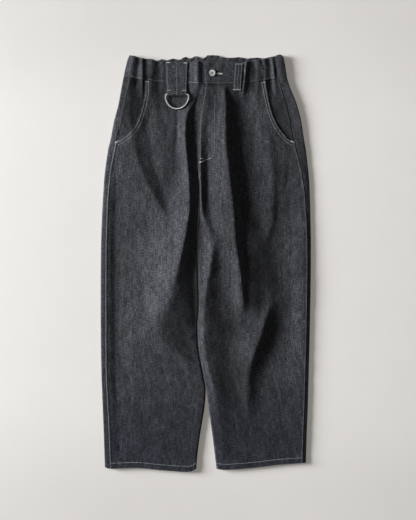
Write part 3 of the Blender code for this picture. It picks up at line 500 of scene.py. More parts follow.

# %% [markdown]
# ## Small creases
#
# Between the large folds, worn and folded denim keeps a memory of how it was handled: short,
# soft dents and ridges that differ in length, depth and spacing. They are listed one by one, each as a
# bent line with a height and a half width. A noise texture would spread evenly and look like
# crumpled foil, so it only adds a very low unevenness here.

# %% Small creases
# Start column and row, end column and row, height in millimetres, half width in millimetres, and how
# far the line bends, as a part of its length
CREASES = {
    "left": [
        (150, 96, 147, 128, -0.9, 5, 0.08), (157, 100, 160, 136, 0.8, 6, -0.05),
        (168, 118, 164, 150, -0.8, 5, 0.05), (172, 150, 168, 186, 0.9, 5, 0.06),
        (125, 152, 112, 190, 0.8, 7, 0.08), (118, 168, 140, 196, 0.7, 6, 0.1),
        (128, 214, 152, 232, -0.7, 9, -0.08), (140, 246, 164, 228, 0.6, 9, 0.1),
        (118, 262, 128, 300, 0.7, 8, 0.08), (132, 318, 118, 352, -0.7, 9, 0.06),
        (166, 352, 186, 378, -0.8, 7, 0.08), (150, 372, 178, 394, 0.6, 9, 0.1),
        (126, 392, 146, 424, -0.6, 10, 0.08), (166, 412, 178, 446, 0.6, 9, -0.06),
        (130, 436, 124, 462, 0.5, 8, 0.05), (188, 396, 184, 432, -0.6, 7, 0.06),
        (200.2, 54, 199.2, 96, 3, 8.5, 0.02), (157.5, 54, 155.5, 80, -1.2, 2.8, 0.04),
        (147.5, 56, 148.5, 86, 0.9, 4, -0.04), (168, 58, 171, 74, -0.6, 3, 0.05),
        (181, 92, 186, 112, -0.3, 4, 0.05),
    ],
    "right": [
        (207, 96, 206, 124, 0.6, 4, 0.04), (214, 164, 221, 186, 0.9, 5, 0.1),
        (209, 216, 218, 236, -0.8, 5, -0.08), (219, 190, 224, 222, -0.7, 5, 0.06),
        (256, 118, 262, 148, 0.9, 5, 0.06), (268, 128, 276, 160, -0.9, 5, 0.08),
        (288, 158, 282, 198, -1.2, 4, 0.07), (292, 196, 274, 232, -0.8, 5, 0.08),
        (262, 226, 250, 256, 0.8, 6, 0.1), (296, 252, 286, 288, 0.7, 8, 0.06),
        (228, 322, 244, 342, -0.8, 6, 0.08), (218, 300, 226, 346, -0.9, 6, 0.05),
        (230, 360, 240, 396, 0.8, 6, 0.06), (284, 330, 276, 372, 0.7, 7, 0.06),
        (268, 372, 276, 412, -0.7, 7, 0.08), (236, 408, 246, 446, 0.6, 9, 0.06),
        (284, 412, 292, 448, -0.6, 9, -0.06), (222, 430, 232, 458, -0.5, 8, 0.05),
        (256, 54, 265, 76, -1.7, 2.8, 0.05), (246, 58, 242.6, 104, 1.5, 2.6, 0.02),
        (249, 54, 254.5, 82, -1.3, 4, 0.06), (262.5, 56, 261, 82, 1.1, 3.2, 0.03),
        (266.6, 54, 272, 84, -1.6, 2.2, 0.04), (270, 58, 274, 92, 1.3, 2.2, 0.04),
        (228, 56, 231, 78, -0.6, 4, 0.05), (221, 60, 218.5, 82, 0.5, 4, 0.05),
    ],
}
UNEVEN_HEIGHT = 0.00016  # metres, of each wave that makes the cloth slightly uneven
UNEVEN_WAVES = 28
UNEVEN_LENGTHS = (0.014, 0.060)  # shortest and longest of them, in metres
HOLD = 0.12  # part of a crease's length over which it rises from nothing at each end


def crease_height(crease, px, row):
    """Height that one small crease adds, in metres."""
    start_px, start_row, end_px, end_row, height, half, bend = crease
    over, down = end_px - start_px, end_row - start_row
    length = math.hypot(over, down)
    share = ((px - start_px) * over + (row - start_row) * down) / length**2
    aside = ((px - start_px) * down - (row - start_row) * over) / length
    aside = aside - bend * length * 4 * share * (1 - share)
    fade = ease(0, HOLD * 3, share) * (1 - ease(1 - HOLD * 3, 1, share))
    return height / 1000 * fade * bell(aside * PIXEL * 1000, half)


def unevenness(px, row):
    """A low, seeded sum of waves in all directions."""
    rng = np.random.default_rng(7)
    total = np.zeros(np.broadcast(px, row).shape)
    for _ in range(UNEVEN_WAVES):
        angle, phase = rng.uniform(0, math.pi), rng.uniform(0, 2 * math.pi)
        length = rng.uniform(*UNEVEN_LENGTHS)
        along_wave = (px * math.cos(angle) + row * math.sin(angle)) * PIXEL / length
        total += UNEVEN_HEIGHT * np.sin(2 * math.pi * along_wave + phase)
    return total / math.sqrt(UNEVEN_WAVES / 4)


print("small creases:", {side: len(lines) for side, lines in CREASES.items()})

# %% [markdown]
# ## Seams that stand proud
#
# A seam is several layers thick, so it shows as a low ridge with a groove where the edge is turned.
# The side seam, the doubled pocket mouth, the fly's facing and the roped hem each add a little to
# the height of the cloth. They are part of the shape and not of the material, so that they also
# catch the light in side views.

# %% Height of the cloth
GAP = 0.0003  # metres between pieces that are sewn together
HALF_GAP = GAP / 2 / PIXEL  # the same on each side of a seam, in columns
# The front where it lies quiet, where the waistband lies over it, and at its least, in metres
REST_HEIGHT, LAPPED_HEIGHT, LEAST_HEIGHT = 0.0080, 0.0061, 0.0036
SOFT_FLOOR = 0.0007  # how softly a hollow flattens at the least height
# Thickness of the panels, the waistband, the hem and the facings, and the waistband's step above them
CLOTH, BAND, HEM, FACING, STEP = 0.0015, 0.0030, 0.0019, 0.0012, 0.0008
LAP_SPARE = 0.00015  # metres more than the gap between lapped pieces
FLY_BLEND, UNDERLAP_FADE = 6.5, 8.0  # columns and rows over which the left front goes under the right one
SEAM_RIDGE, RIDGE_PLACE, RIDGE_REACH = 0.0007, 1.0, 0.9  # height beside the side seam, and columns
SEAM_GROOVE, GROOVE_WIDTH = 0.0005, 0.6  # depth at the side seam, and columns
MOUTH_BAND, MOUTH_RAISE = 4.4, 0.00035  # columns that the pocket's mouth is doubled over, and height
FLY_STITCH = [(84, 215.6), (120, 215.6), (138, 215.4), (148, 214.8), (154.8, 212.6), (158.6, 209.6)]
FLY_RAISE = 0.0004  # height of the fly's facing
# How far the hem stands proud, and its roping: height in metres, pitch in columns, and lean
HEM_RAISE, ROPE_HEIGHT, ROPE_PITCH, ROPE_LEAN = 0.0004, 0.00022, 4.6, 0.55
ROPE_DRIFT, ROPE_DRIFT_PITCH = 0.9, 7.3  # how far the roping's pitch strays, and over how many columns


def seam_relief(side, px, row):
    """What the side seam, the pocket's mouth, the fly and the hem add."""
    out = outwards(side)
    beside = (read(SIDE_SEAM[side], row) - px) * out
    ridge = SEAM_RIDGE * bell(beside - RIDGE_PLACE, RIDGE_REACH)
    height = ridge - SEAM_GROOVE * bell(beside, GROOVE_WIDTH)
    height = height * ease(SEAM_ROW, SEAM_ROW + 6, row)
    inside = (read(POCKET_MOUTH[side], row) - px) * out
    mouth = ease(0, 0.5, inside) * (1 - ease(MOUTH_BAND - 1, MOUTH_BAND, inside))
    height = height + MOUTH_RAISE * mouth * (row < POCKET_END[side]) * ease(SEAM_ROW, SEAM_ROW + 4, row)
    if side == "right":
        stitch = read(FLY_STITCH, np.clip(row, FLY_STITCH[0][0], FLY_STITCH[-1][0]))
        facing = (1 - ease(stitch - 0.8, stitch + 0.4, px)) * (1 - ease(157, 161, row))
        height = height + FLY_RAISE * facing * ease(SEAM_ROW, SEAM_ROW + 3, row)
    hem = ease(HEM_STITCH - 0.6, HEM_STITCH + 0.6, row)
    stray = ROPE_DRIFT * np.sin(px / ROPE_DRIFT_PITCH)
    rope = np.sin(2 * math.pi * (px + row * ROPE_LEAN) / ROPE_PITCH + stray)
    return height + hem * (HEM_RAISE + ROPE_HEIGHT * rope)


def plain_height(side, px, row):
    """Height of one half's outer face above the floor, before the fly laps it."""
    px, row = np.broadcast_arrays(np.asarray(px, float), np.asarray(row, float))
    height = np.full(px.shape, REST_HEIGHT)
    for table in FOLDS[side].values():
        height = height + fold_height(table, px, row)
    for gather in GATHERS[side]:
        height = height + gather_height(gather, px, row)
    for crease in CREASES[side]:
        height = height + crease_height(crease, px, row)
    height = height + unevenness(px, row)
    least = LEAST_HEIGHT + (LAPPED_HEIGHT - LEAST_HEIGHT) * (1 - ease(SEAM_ROW + 1, SEAM_ROW + 14, row))
    softened = SOFT_FLOOR * np.logaddexp(0, (height - least) / SOFT_FLOOR)
    return least + softened + seam_relief(side, px, row)


def slope_factor(side, px, row):
    """How much longer a vertical depth is than the same depth square to the cloth."""
    step = 0.5
    over = plain_height(side, px + step, row) - plain_height(side, px - step, row)
    down = plain_height(side, px, row + step) - plain_height(side, px, row - step)
    return np.sqrt(1 + (over**2 + down**2) / (2 * step * PIXEL) ** 2)


def top_height(side, px, row, lap=CLOTH):
    """Height of the front's outer face. The left front goes under the right one at the fly."""
    px, row = np.broadcast_arrays(np.asarray(px, float), np.asarray(row, float))
    height = plain_height(side, px, row)
    if side == "right":
        return height
    edge = read(FLY_EDGE, row)
    under = plain_height("right", np.maximum(px, edge), row)
    under = under - (lap + GAP + LAP_SPARE) * slope_factor("right", np.maximum(px, edge), row)
    share = ease(edge - FLY_BLEND, edge - 1, px) * (1 - ease(FLY_END + UNDERLAP_FADE, CROTCH, row))
    return height + (under - height) * share


def photo_row(side, px, row):
    """The row of the picture where a point of a panel lies, bent along the waist seam and the hem."""
    lift = (read(WAIST_SEAM, px) - SEAM_ROW) * (1 - ease(SEAM_ROW, LIFT_END, row))
    drop = (read(HEM_EDGE[side], px) - HEM_ROW) * ease(HEM_BEND_START, HEM_ROW, row)
    return row + lift + drop


samples = plain_height("left", np.linspace(106, 196, 91)[None, :], np.linspace(90, 460, 75)[:, None])
print("height of the left front, mm:", round(1000 * samples.min(), 1), "to", round(1000 * samples.max(), 1))

# %% [markdown]
# ## Raw denim
#
# Denim is a 3/1 twill: dark warp yarns run down the leg, and paler weft yarns show between them on
# the diagonal. Its yarns are uneven, so slubs make pale streaks both ways, and the cloth looks
# charcoal with a fine pale crosshatch. The pattern follows the piece's own UV map, in metres along
# the cloth, so it bends with the folds. An image of real denim would repeat, and these noises don't.

# %% Denim
# Painted shade and painted highlights where folds are lit or shaded, with some paler fading from handling:
# column, row, half width and half height in columns and rows, and the part that it adds
PAINTED_LIGHT_SHADE_AND_FADE = [
    (157, 258, 17, 48, 0.42), (124, 250, 9, 60, -0.18), (184, 215, 7, 22, 0.35),
    (178, 330, 18, 30, -0.28), (299, 310, 8, 90, 0.28), (228, 330, 14, 40, -0.3),
    (249, 330, 8, 20, -0.28), (264, 265, 20, 40, -0.35), (250, 415, 45, 38, -0.2),
    (208, 120, 6, 40, -0.2), (284, 180, 11, 32, -0.18), (232, 390, 14, 26, -0.2),
    (195.5, 74, 4.5, 14, 0.95), (150, 430, 40, 35, -0.08), (156, 68, 8, 12, -0.15),
    (256, 72, 8, 14, -0.15), (148.6, 80, 3, 14, -0.62), (160, 84, 5, 14, -0.52), (142.6, 70, 2, 7, 1),
    (129, 67, 4, 8, 0.6), (138.8, 62, 2, 5, -0.6), (201, 76, 1.8, 13, 0.6), (205.8, 78, 0.8, 9, 0.8),
    (228, 86, 6, 7, -0.62), (213, 100, 8, 22, -0.42), (238, 70, 6, 14, -0.42), (253.5, 76, 2.6, 12, -0.5),
    (262, 81, 2.6, 6, -0.5), (245, 72, 1.5, 10, 0.45), (272.5, 87, 2.5, 6, 0.65), (251, 88, 4, 8, -0.45),
    (190, 91, 4, 5, 0.45), (116, 132, 7, 26, 0.6), (144, 112, 8, 32, -0.38), (159, 102, 7, 14, -0.35),
    (168, 176, 6, 30, -0.48), (158, 202, 6, 18, -0.35), (177, 150, 5, 26, -0.32),
    (198, 185, 4.5, 60, 0.55), (179, 262, 7, 36, 0.62), (195, 302, 6, 22, -0.6), (168, 290, 7, 26, 0.22),
    (155, 304, 9, 18, 0.32), (117, 330, 5, 125, -0.28), (228, 235, 6, 70, -0.35), (258, 245, 5, 85, -0.3),
    (271, 245, 8, 60, -0.24), (288, 155, 6, 45, -0.28), (222, 365, 9, 56, -0.28), (296, 285, 5, 50, 0.25),
    (198, 80, 2.6, 9, 0.3), (205, 85.5, 16, 1.2, -0.45), (106, 205, 4, 45, 0.45), (258, 303, 5, 14, -0.4),
    (208, 256, 5, 18, 0.3), (138, 87, 2.5, 5, 0.45), (278, 122, 5, 20, -0.28), (247, 147, 5, 24, -0.38),
    (288, 301, 5, 14, -0.48),
]
DARKEST = -0.75  # least sum of the patches at any point
YARN, PICK = 0.00052, 0.00060  # metres from one warp yarn to the next, and from one weft yarn to the next
# Unevenness of the yarns: metres over and down the cloth in which a noise changes, its detail, and how
# much paler or darker it makes the cloth
UNEVEN = {
    "warp_slub": (0.0014, 0.016, 2.0, 0.72),
    "weft_slub": (0.011, 0.0013, 2.0, 0.66),
    "grain": (0.0021, 0.0026, 1.0, 0.55),
    "cloud": (0.030, 0.055, 2.0, 0.25),
    "streak": (0.006, 0.20, 2.0, 0.25),
}
NOISE_ROUGHNESS = 0.55
GRIN, BASE_TONE = 0.16, 0.24  # how much the weft on the twill's diagonal adds, and the tone without it
WEAR_SHARE = 0.6  # how much of the worn colour shows at an edge
# How much each yarn, the twill's rib and each slub stands out, and the height of it all in metres
RELIEF = {"warp": 0.35, "weft": 0.2, "rib": 0.5, "warp_slub": 0.9, "weft_slub": 0.7}
RELIEF_HEIGHT = 0.00035
# The facings are painted darker than the panels, as painted shade where they lie sunk in the pocket's mouth.
FACING_SHADE = 0.62  # the facings' colour, as a part of the panels'
DARK_YARN, PALE_YARN = (0.0125, 0.0135, 0.0170, 1), (0.150, 0.156, 0.172, 1)
WORN_EDGE = (0.115, 0.120, 0.132, 1)
# The cast makes the lower legs darker and bluer towards the hems.
BLUE_CAST = (0.66, 0.70, 0.78, 1)
BLUE_FROM, BLUE_TO = -0.20, -0.42  # metres along the garment between which the cast comes in


def light_shade_and_fade_at(points):
    """The sum of the patches of painted shade, painted highlight and fading above, at some points in metres.
    """
    px = points[..., 0] / PIXEL + (LEFT_PX + RIGHT_PX) / 2
    row = (TOP_PY + BOTTOM_PY) / 2 - points[..., 1] / PIXEL
    patches = [add * np.exp(-(((px - x) / half) ** 2) - ((row - y) / tall) ** 2)
               for x, y, half, tall, add in PAINTED_LIGHT_SHADE_AND_FADE]
    return np.maximum(sum(patches), DARKEST)


def denim_finish(name, shade=1.0):
    """Raw denim, with shade as how pale its yarns are; below 1 it paints the facings darker, as painted shade
    of the pocket's mouth.
    """
    material, graph, shader = new_finish(name)
    cloth = graph.add("ShaderNodeUVMap", {"uv_map": "cloth"})
    over, down = graph.split(cloth, 0), graph.split(cloth, 1)
    layers, mottle, relief = {"warp": (over / YARN).wave(), "weft": (down / PICK).wave()}, 0.0, 0.0
    layers["rib"] = (over / (4 * YARN) + down / (4 * PICK)).wave()
    for label, (wide, tall, detail, strength) in UNEVEN.items():
        place = graph.times(cloth, (1 / wide, 1 / tall, 1))
        layers[label] = graph.noise(place, 1.0, detail, NOISE_ROUGHNESS, "2D")
        mottle = (layers[label] - 0.5) * strength + mottle
    for label, share in RELIEF.items():
        relief = layers[label] * share + relief
    grin = layers["rib"].rise(0.35, 0.95) * (1 - layers["warp"] * 0.35)
    tone = (mottle + grin * GRIN + BASE_TONE).rise(0.0, 1.0)
    towards_hem = -1 * graph.split(graph.object_place(), 1)
    yarns = graph.blend(tone, DARK_YARN, PALE_YARN)
    cast = graph.blend(towards_hem.rise(-BLUE_FROM, -BLUE_TO), yarns, BLUE_CAST, "MULTIPLY")
    rubbed = (graph.mark("wear") * (0.35 + layers["grain"] * 0.9)).rise(0.15, 1.0) * WEAR_SHARE
    # the tone attribute's painted shade, painted highlights and fading, and shade, which paints the facings
    # darker
    depth = (graph.mark("tone") + 1) * shade
    graph.fill(shader, {
        "Base Color": graph.times(graph.blend(rubbed, cast, WORN_EDGE), graph.join(depth, depth, depth)),
        "Roughness": 0.86 + (1 - tone) * 0.1,
        "Normal": graph.bump(0.5, RELIEF_HEIGHT, relief),
        "Specular IOR Level": 0.12,
        "Sheen Weight": 0.06,
        "Sheen Roughness": 0.6,
    })
    return material


DENIM = denim_finish("raw_denim")
FACING_DENIM = denim_finish("raw_denim_facing", FACING_SHADE)
print("denim nodes:", len(DENIM.node_tree.nodes))

# %% [markdown]
# ## Metal and thread
#
# The ring and the button are nickel-plated: bright, a little soft, and finely scratched from use. The
# sewing is pale polyester, spun, so it is matt with a slight twist. The long seams and a few bartacks
# have a greyer thread than the other bartacks.

# %% Metal and thread
NICKEL, NICKEL_DULL, TARNISH = (0.60, 0.61, 0.62, 1), (0.36, 0.37, 0.39, 1), (0.085, 0.088, 0.095, 1)
# Scale of the dull patches, the scratches along three axes and the thread's fibres, for each metre
PATCH_SCALE, SCRATCH_SCALE, FIBRE_SCALE = 260.0, (900, 900, 4000), 900.0
SCRATCH_DEPTH, FIBRE_DEPTH = 0.00008, 0.0001  # metres


def metal_finish(name, roughness, scratch):
    """Plated metal with fine scratches and slightly dull patches."""
    material, graph, shader = new_finish(name)
    place = graph.object_place()
    patches = graph.noise(place, PATCH_SCALE, 3.0)
    marks = graph.noise(graph.times(place, SCRATCH_SCALE), 1.0, 2.0)
    plate = graph.blend(patches.rise(0.45, 0.75), NICKEL, NICKEL_DULL)
    graph.fill(shader, {
        "Base Color": graph.blend(graph.mark("tarnish") * (0.5 + patches), plate, TARNISH),
        "Roughness": roughness + patches * 0.12 + marks.rise(0.55, 0.7) * scratch,
        "Normal": graph.bump(0.12, SCRATCH_DEPTH, marks),
        "Metallic": 1.0,
    })
    return material


def thread_finish(name, low, high):
    """Spun sewing thread, lighter and darker along its length."""
    material, graph, shader = new_finish(name)
    fibre = graph.noise(graph.object_place(), FIBRE_SCALE, 2.0)
    graph.fill(shader, {
        "Base Color": graph.blend(fibre.rise(0.3, 0.7), low, high),
        "Roughness": 0.7 + fibre * 0.2,
        "Normal": graph.bump(0.4, FIBRE_DEPTH, fibre),
        "Specular IOR Level": 0.25,
    })
    return material


PLATE_ROUGHNESS, SCRATCH_ROUGHNESS = 0.26, 0.15
RING_METAL = metal_finish("nickel_ring", PLATE_ROUGHNESS, SCRATCH_ROUGHNESS)
BUTTON_METAL = metal_finish("nickel_button", PLATE_ROUGHNESS, SCRATCH_ROUGHNESS)
GREY_THREAD = thread_finish("grey_thread", (0.17, 0.18, 0.20, 1), (0.33, 0.34, 0.36, 1))
HEM_THREAD = thread_finish("hem_thread", (0.26, 0.27, 0.28, 1), (0.46, 0.46, 0.46, 1))
PALE_THREAD = thread_finish("pale_thread", (0.52, 0.51, 0.48, 1), (0.80, 0.79, 0.75, 1))
print("finishes:", [m.name for m in (RING_METAL, BUTTON_METAL, GREY_THREAD, HEM_THREAD, PALE_THREAD)])

# %% [markdown]
# ## A wall of cloth
#
# Each panel is one thin closed wall: a fine grid of points on its outer face, and the same points
# moved in by the cloth's thickness. Solidify could thicken a sheet too, but here the end faces have
# to stand upright at a side seam and lie level at an inseam, so that pieces that meet stay clear
# of each other. The grid also gives the piece its UV map, measured along the cloth, and an
# attribute that is 1 at its edges, for the wear there.

# %% Cloth walls
WEAR_WIDTH = 0.0022  # metres from an edge over which it looks rubbed


def arc_lengths(points, axis, fixed):
    """Metres along the cloth from the first point of a row or column, and 0 at one that is fixed."""
    steps = np.linalg.norm(np.diff(points, axis=axis), axis=2)
    zero = np.zeros_like(np.take(steps, [0], axis=axis))
    total = np.concatenate([zero, np.cumsum(steps, axis=axis)], axis=axis)
    return total - np.take(total, [fixed], axis=axis)


def grid_faces(rows, columns):
    """Corner numbers of a wall's faces: its outer face, its inner one, and its rim."""
    number = np.arange(rows * columns).reshape(rows, columns)
    a, b, c, d = number[:-1, :-1], number[1:, :-1], number[1:, 1:], number[:-1, 1:]
    outer = np.stack([a, b, c, d], axis=-1).reshape(-1, 4)
    inner = np.stack([a, d, c, b], axis=-1).reshape(-1, 4) + rows * columns
    rim = np.concatenate([number[0], number[1:, -1], number[-1, -2::-1], number[-2:0:-1, 0]])
    after = np.roll(rim, -1)
    ends = np.stack([rim, after, after + rows * columns, rim + rows * columns], axis=-1)
    return np.concatenate([outer, inner, ends])


def cloth_wall(name, outer, thickness, material, worn, level=(0, 0), seam_row=0, fixed=0, fold=False):
    """A closed wall under a grid of outer points, as in the part's source.

    worn says how rubbed the first and last row and column are. level, from 0 to 1 for the first and
    the last column, lays their end faces level. fixed is the column where the UV map starts. The map
    follows a strip round its fold where fold is true.
    """
    normal = np.cross(np.gradient(outer, axis=0), np.gradient(outer, axis=1))
    normal[seam_row, :, 1] = 0
    for column, share in zip((0, -1), level):
        normal[:, column, 0] *= share
        normal[:, column, 2] *= 1 - np.asarray(share)
    normal /= np.linalg.norm(normal, axis=2, keepdims=True)
    rows, columns = outer.shape[:2]
    inner = outer - normal * np.broadcast_to(thickness, (rows, columns))[..., None]
    mesh = bpy.data.meshes.new(name)
    points = np.concatenate([outer.reshape(-1, 3), inner.reshape(-1, 3)])
    mesh.from_pydata(points.tolist(), [], grid_faces(rows, columns).tolist())
    over, down = arc_lengths(outer, 1, fixed), -arc_lengths(outer, 0, 0) if fold else outer[..., 1]
    place = np.stack([over, down], axis=-1).reshape(-1, 2)
    add_cloth_map(mesh, np.concatenate([place, place]))
    edges = [arc_lengths(outer, axis, end) for axis in (0, 1) for end in (0, -1)]
    wear = np.max([w * bell(far, WEAR_WIDTH) for w, far in zip(worn, edges)], axis=0).ravel()
    add_mark(mesh, "wear", np.concatenate([wear, wear]))
    # the tone attribute holds the patches' painted shade, painted highlights and fading, for each point
    tone = light_shade_and_fade_at(outer).ravel()
    add_mark(mesh, "tone", np.concatenate([tone, tone]))
    return finish_cloth(name, mesh, material)


def add_cloth_map(mesh, places):
    """Gives a mesh its UV map in metres, from one place for each point."""
    corners = np.empty(len(mesh.loops), int)
    mesh.loops.foreach_get("vertex_index", corners)
    mesh.uv_layers.new(name="cloth").data.foreach_set("uv", places[corners].astype(np.float32).ravel())


def add_mark(mesh, label, values):
    """Gives a mesh a named attribute with one value for each point."""
    mesh.attributes.new(label, "FLOAT", "POINT").data.foreach_set("value", values.astype(np.float32))


def triangle_count(mesh):
    """How many triangles a mesh's faces make."""
    return sum(len(face.vertices) - 2 for face in mesh.polygons)


def finish_cloth(name, mesh, material, round_angle=50):
    """Shades a mesh smooth, gives it its material and links its object."""
    mesh.shade_smooth()
    mesh.set_sharp_from_angle(angle=math.radians(round_angle))
    mesh.materials.append(material)
    made = linked(name, mesh)
    size = np.ptp([v.co for v in mesh.vertices], axis=0)
    print(f"{name}: {triangle_count(mesh)} triangles, {np.round(1000 * size, 1)} mm")
    return made


PIECES = {}
print("cloth tools ready")

# %% [markdown]
# ## Fronts and backs
#
# Each leg is two panels. The front runs from the pocket's mouth and the side seam to the fly and the
# inseam. The back lies flat below and wraps round the outer side, because the side seam of these
# jeans sits forward. Their grids are about as fine as the picture's own dots, which is enough for
# every crease, and the columns crowd together at the seams, where the shape changes fastest.

# %% Fronts and backs
# Half width of the folds at the outer side and the inner leg, and the inseam's height, in metres
SIDE_ROLL, INNER_ROLL, INSEAM_HEIGHT = 0.0028, 0.0045, 0.0025
# Columns that the left front goes under at the fly, and grid columns that a facing goes under its front
FLY_UNDERLAP, POCKET_UNDERLAP = 2.0, 6
TURN_STEPS, FRONT_STEPS, FLOOR_STEPS, STRIP_STEPS = 6, 84, 44, 6
POCKET_STEPS, LEG_STEPS, HEM_STEPS, FACING_STEPS = 56, 218, 9, 25
CROWDING = 0.6  # how much closer together a front's columns lie at its seams
# Soft folds of the hidden underside, laid out as the small creases are
UNDERSIDE = [
    (134, 150, 128, 230, 0.42, 6, 0.05), (170, 120, 160, 190, 0.4, 7, -0.05),
    (150, 240, 168, 300, 0.42, 8, 0.06), (124, 300, 140, 372, 0.4, 7, 0.05),
    (172, 350, 160, 430, 0.36, 8, 0.06), (276, 150, 284, 228, 0.42, 6, 0.05),
    (262, 232, 250, 296, 0.4, 7, -0.06), (232, 150, 244, 214, 0.36, 6, 0.05),
    (284, 300, 268, 366, 0.42, 8, 0.05), (236, 330, 248, 410, 0.4, 7, -0.05),
    (280, 392, 288, 448, 0.36, 8, 0.06), (132, 392, 140, 450, 0.36, 7, 0.05),
]


def inner_edge(side, row):
    """Column of a half's inner edge: the fly, then the inner leg."""
    edge = read(FLY_EDGE, row)
    if side == "right":
        return edge
    return np.where(row > SPLIT_ROW, read(INNER_LEG_LEFT, row), edge) - 2 * HALF_GAP


def front_edge(side, row):
    """Column of the front panel's outer edge: the pocket's mouth, then the side seam."""
    seam, mouth = read(SIDE_SEAM[side], row), read(POCKET_MOUTH[side], row)
    return np.where(row < POCKET_END[side], mouth, seam) - outwards(side) * HALF_GAP


def panel_rows(side):
    """Rows of a panel's grid, from the waist seam to the hem."""
    pocket = np.linspace(SEAM_ROW, POCKET_END[side], POCKET_STEPS)
    leg = np.linspace(POCKET_END[side], HEM_STITCH - 0.6, LEG_STEPS)[1:]
    hem = np.linspace(HEM_STITCH, HEM_ROW, HEM_STEPS)
    return np.concatenate([pocket, leg, hem])[:, None]


def quarter(steps):
    """Angles of a quarter turn after its start."""
    return np.linspace(0, math.pi / 2, steps + 1)[None, 1:]


def crowded(steps):
    """Parts of a width from 0 to 1, closer together at both ends."""
    even = np.linspace(0, 1, steps)
    return (even - CROWDING * np.sin(2 * math.pi * even) / (2 * math.pi))[None, :]


def front_columns(side, rows):
    """Columns of a front's grid in each row, from its outer edge to its inner one."""
    out = outwards(side)
    start, end, roll = front_edge(side, rows), inner_edge(side, rows), INNER_ROLL / PIXEL
    if side == "left":
        lapped = rows <= FLY_END
        end = np.where(lapped, end + FLY_UNDERLAP, end)
        roll = np.where(lapped, roll + 1, roll)
    brim = end + out * roll
    flat = start + (brim - start) * crowded(FRONT_STEPS)
    return np.concatenate([flat, brim - out * roll * np.sin(quarter(TURN_STEPS))], axis=1)


def placed(side, px, row, height, shift=0.0):
    """Points in metres from columns, rows and heights. shift moves the waist edge off its seam."""
    y = along(photo_row(side, px, row)) - shift
    return np.stack(np.broadcast_arrays(across(px), y, height), axis=-1)


def seam_shift(rows):
    """Half the gap of the waist seam in its own row, and nothing elsewhere."""
    return GAP / 2 * (rows == SEAM_ROW)


def hem_thickness(rows):
    """The wall's thickness, which the turned-up hem doubles."""
    return np.where(rows >= HEM_STITCH, HEM, CLOTH)


def sided_wall(name, side, points, thickness, material, worn, level=(0, 0), seam_row=0):
    """A wall whose columns run from one side's outer edge, or its inner one, to the other."""
    fixed = -1
    if side == "right":
        points, level = points[:, ::-1], level[::-1]
        fixed, worn = 0, (*worn[:2], worn[3], worn[2])
    return cloth_wall(name, points, thickness, material, worn, level, seam_row, fixed)


def front_panel(side):
    """One front, rolled down at the inner leg."""
    rows = panel_rows(side)
    px = front_columns(side, rows)
    height = top_height(side, px, rows)
    turned = np.concatenate([np.zeros((1, FRONT_STEPS)), 1 - np.cos(quarter(TURN_STEPS))], axis=1)
    rolled = ease(FLY_END + UNDERLAP_FADE, CROTCH - 6, rows)
    height = height - (height - INSEAM_HEIGHT - GAP / 2) * turned * rolled
    points = placed(side, px, rows, height, seam_shift(rows))
    level = (0, rolled[:, 0])
    worn = (0, 1, 0.9, 0.5)
    return sided_wall(f"front_{side}_cloth", side, points, hem_thickness(rows), DENIM, worn, level)


def side_turn(side, brim, top):
    """Columns and heights of the half turn at the outer side, from the floor up to the front."""
    out, middle, roll, turn = outwards(side), top / 2, SIDE_ROLL / PIXEL, quarter(TURN_STEPS)
    px = np.concatenate([brim + out * roll * np.sin(turn), brim + out * roll * np.cos(turn)], axis=1)
    height = np.concatenate([middle * (1 - np.cos(turn)), middle + (top - middle) * np.sin(turn)], axis=1)
    return px, height


def strip_parts():
    """Parts of the narrow strip between the side's turn and its seam."""
    return np.linspace(0, 1, STRIP_STEPS + 1)[None, 1:]


def back_panel(side):
    """One back: flat on the floor, rolled up at the inseam, and folded over the side to its seam."""
    rows, out, rise = panel_rows(side), outwards(side), quarter(TURN_STEPS)[:, ::-1]
    outer, seam = read(OUTER[side], rows), read(SIDE_SEAM[side], rows) + out * HALF_GAP
    inner, roll = inner_edge(side, rows), INNER_ROLL / PIXEL
    raised = ease(CROTCH - 4, CROTCH + 12, rows)
    inner_px = inner + out * roll * (1 - np.sin(rise))
    inner_height = (INSEAM_HEIGHT - GAP / 2) * raised * (1 - np.cos(rise))
    brim, foot = outer - out * SIDE_ROLL / PIXEL, inner + out * roll
    floor_px = foot + (brim - foot) * np.linspace(0, 1, FLOOR_STEPS)[None, :]
    floor_height = sum(crease_height(crease, floor_px, rows) for crease in UNDERSIDE)
    side_px, side_height = side_turn(side, brim, top_height(side, brim, rows))
    strip_px = brim + (seam - brim) * strip_parts()
    px = np.concatenate([inner_px, floor_px, side_px, strip_px], axis=1)
    strip_height = top_height(side, strip_px, rows)
    height = np.concatenate([inner_height, floor_height, side_height, strip_height], axis=1)
    points = placed(side, px, rows, height, seam_shift(rows))
    level = (raised[:, 0], 0)
    worn = (0, 1, 0.5, 0.7)
    return sided_wall(f"back_{side}_cloth", side, points, hem_thickness(rows), DENIM, worn, level)


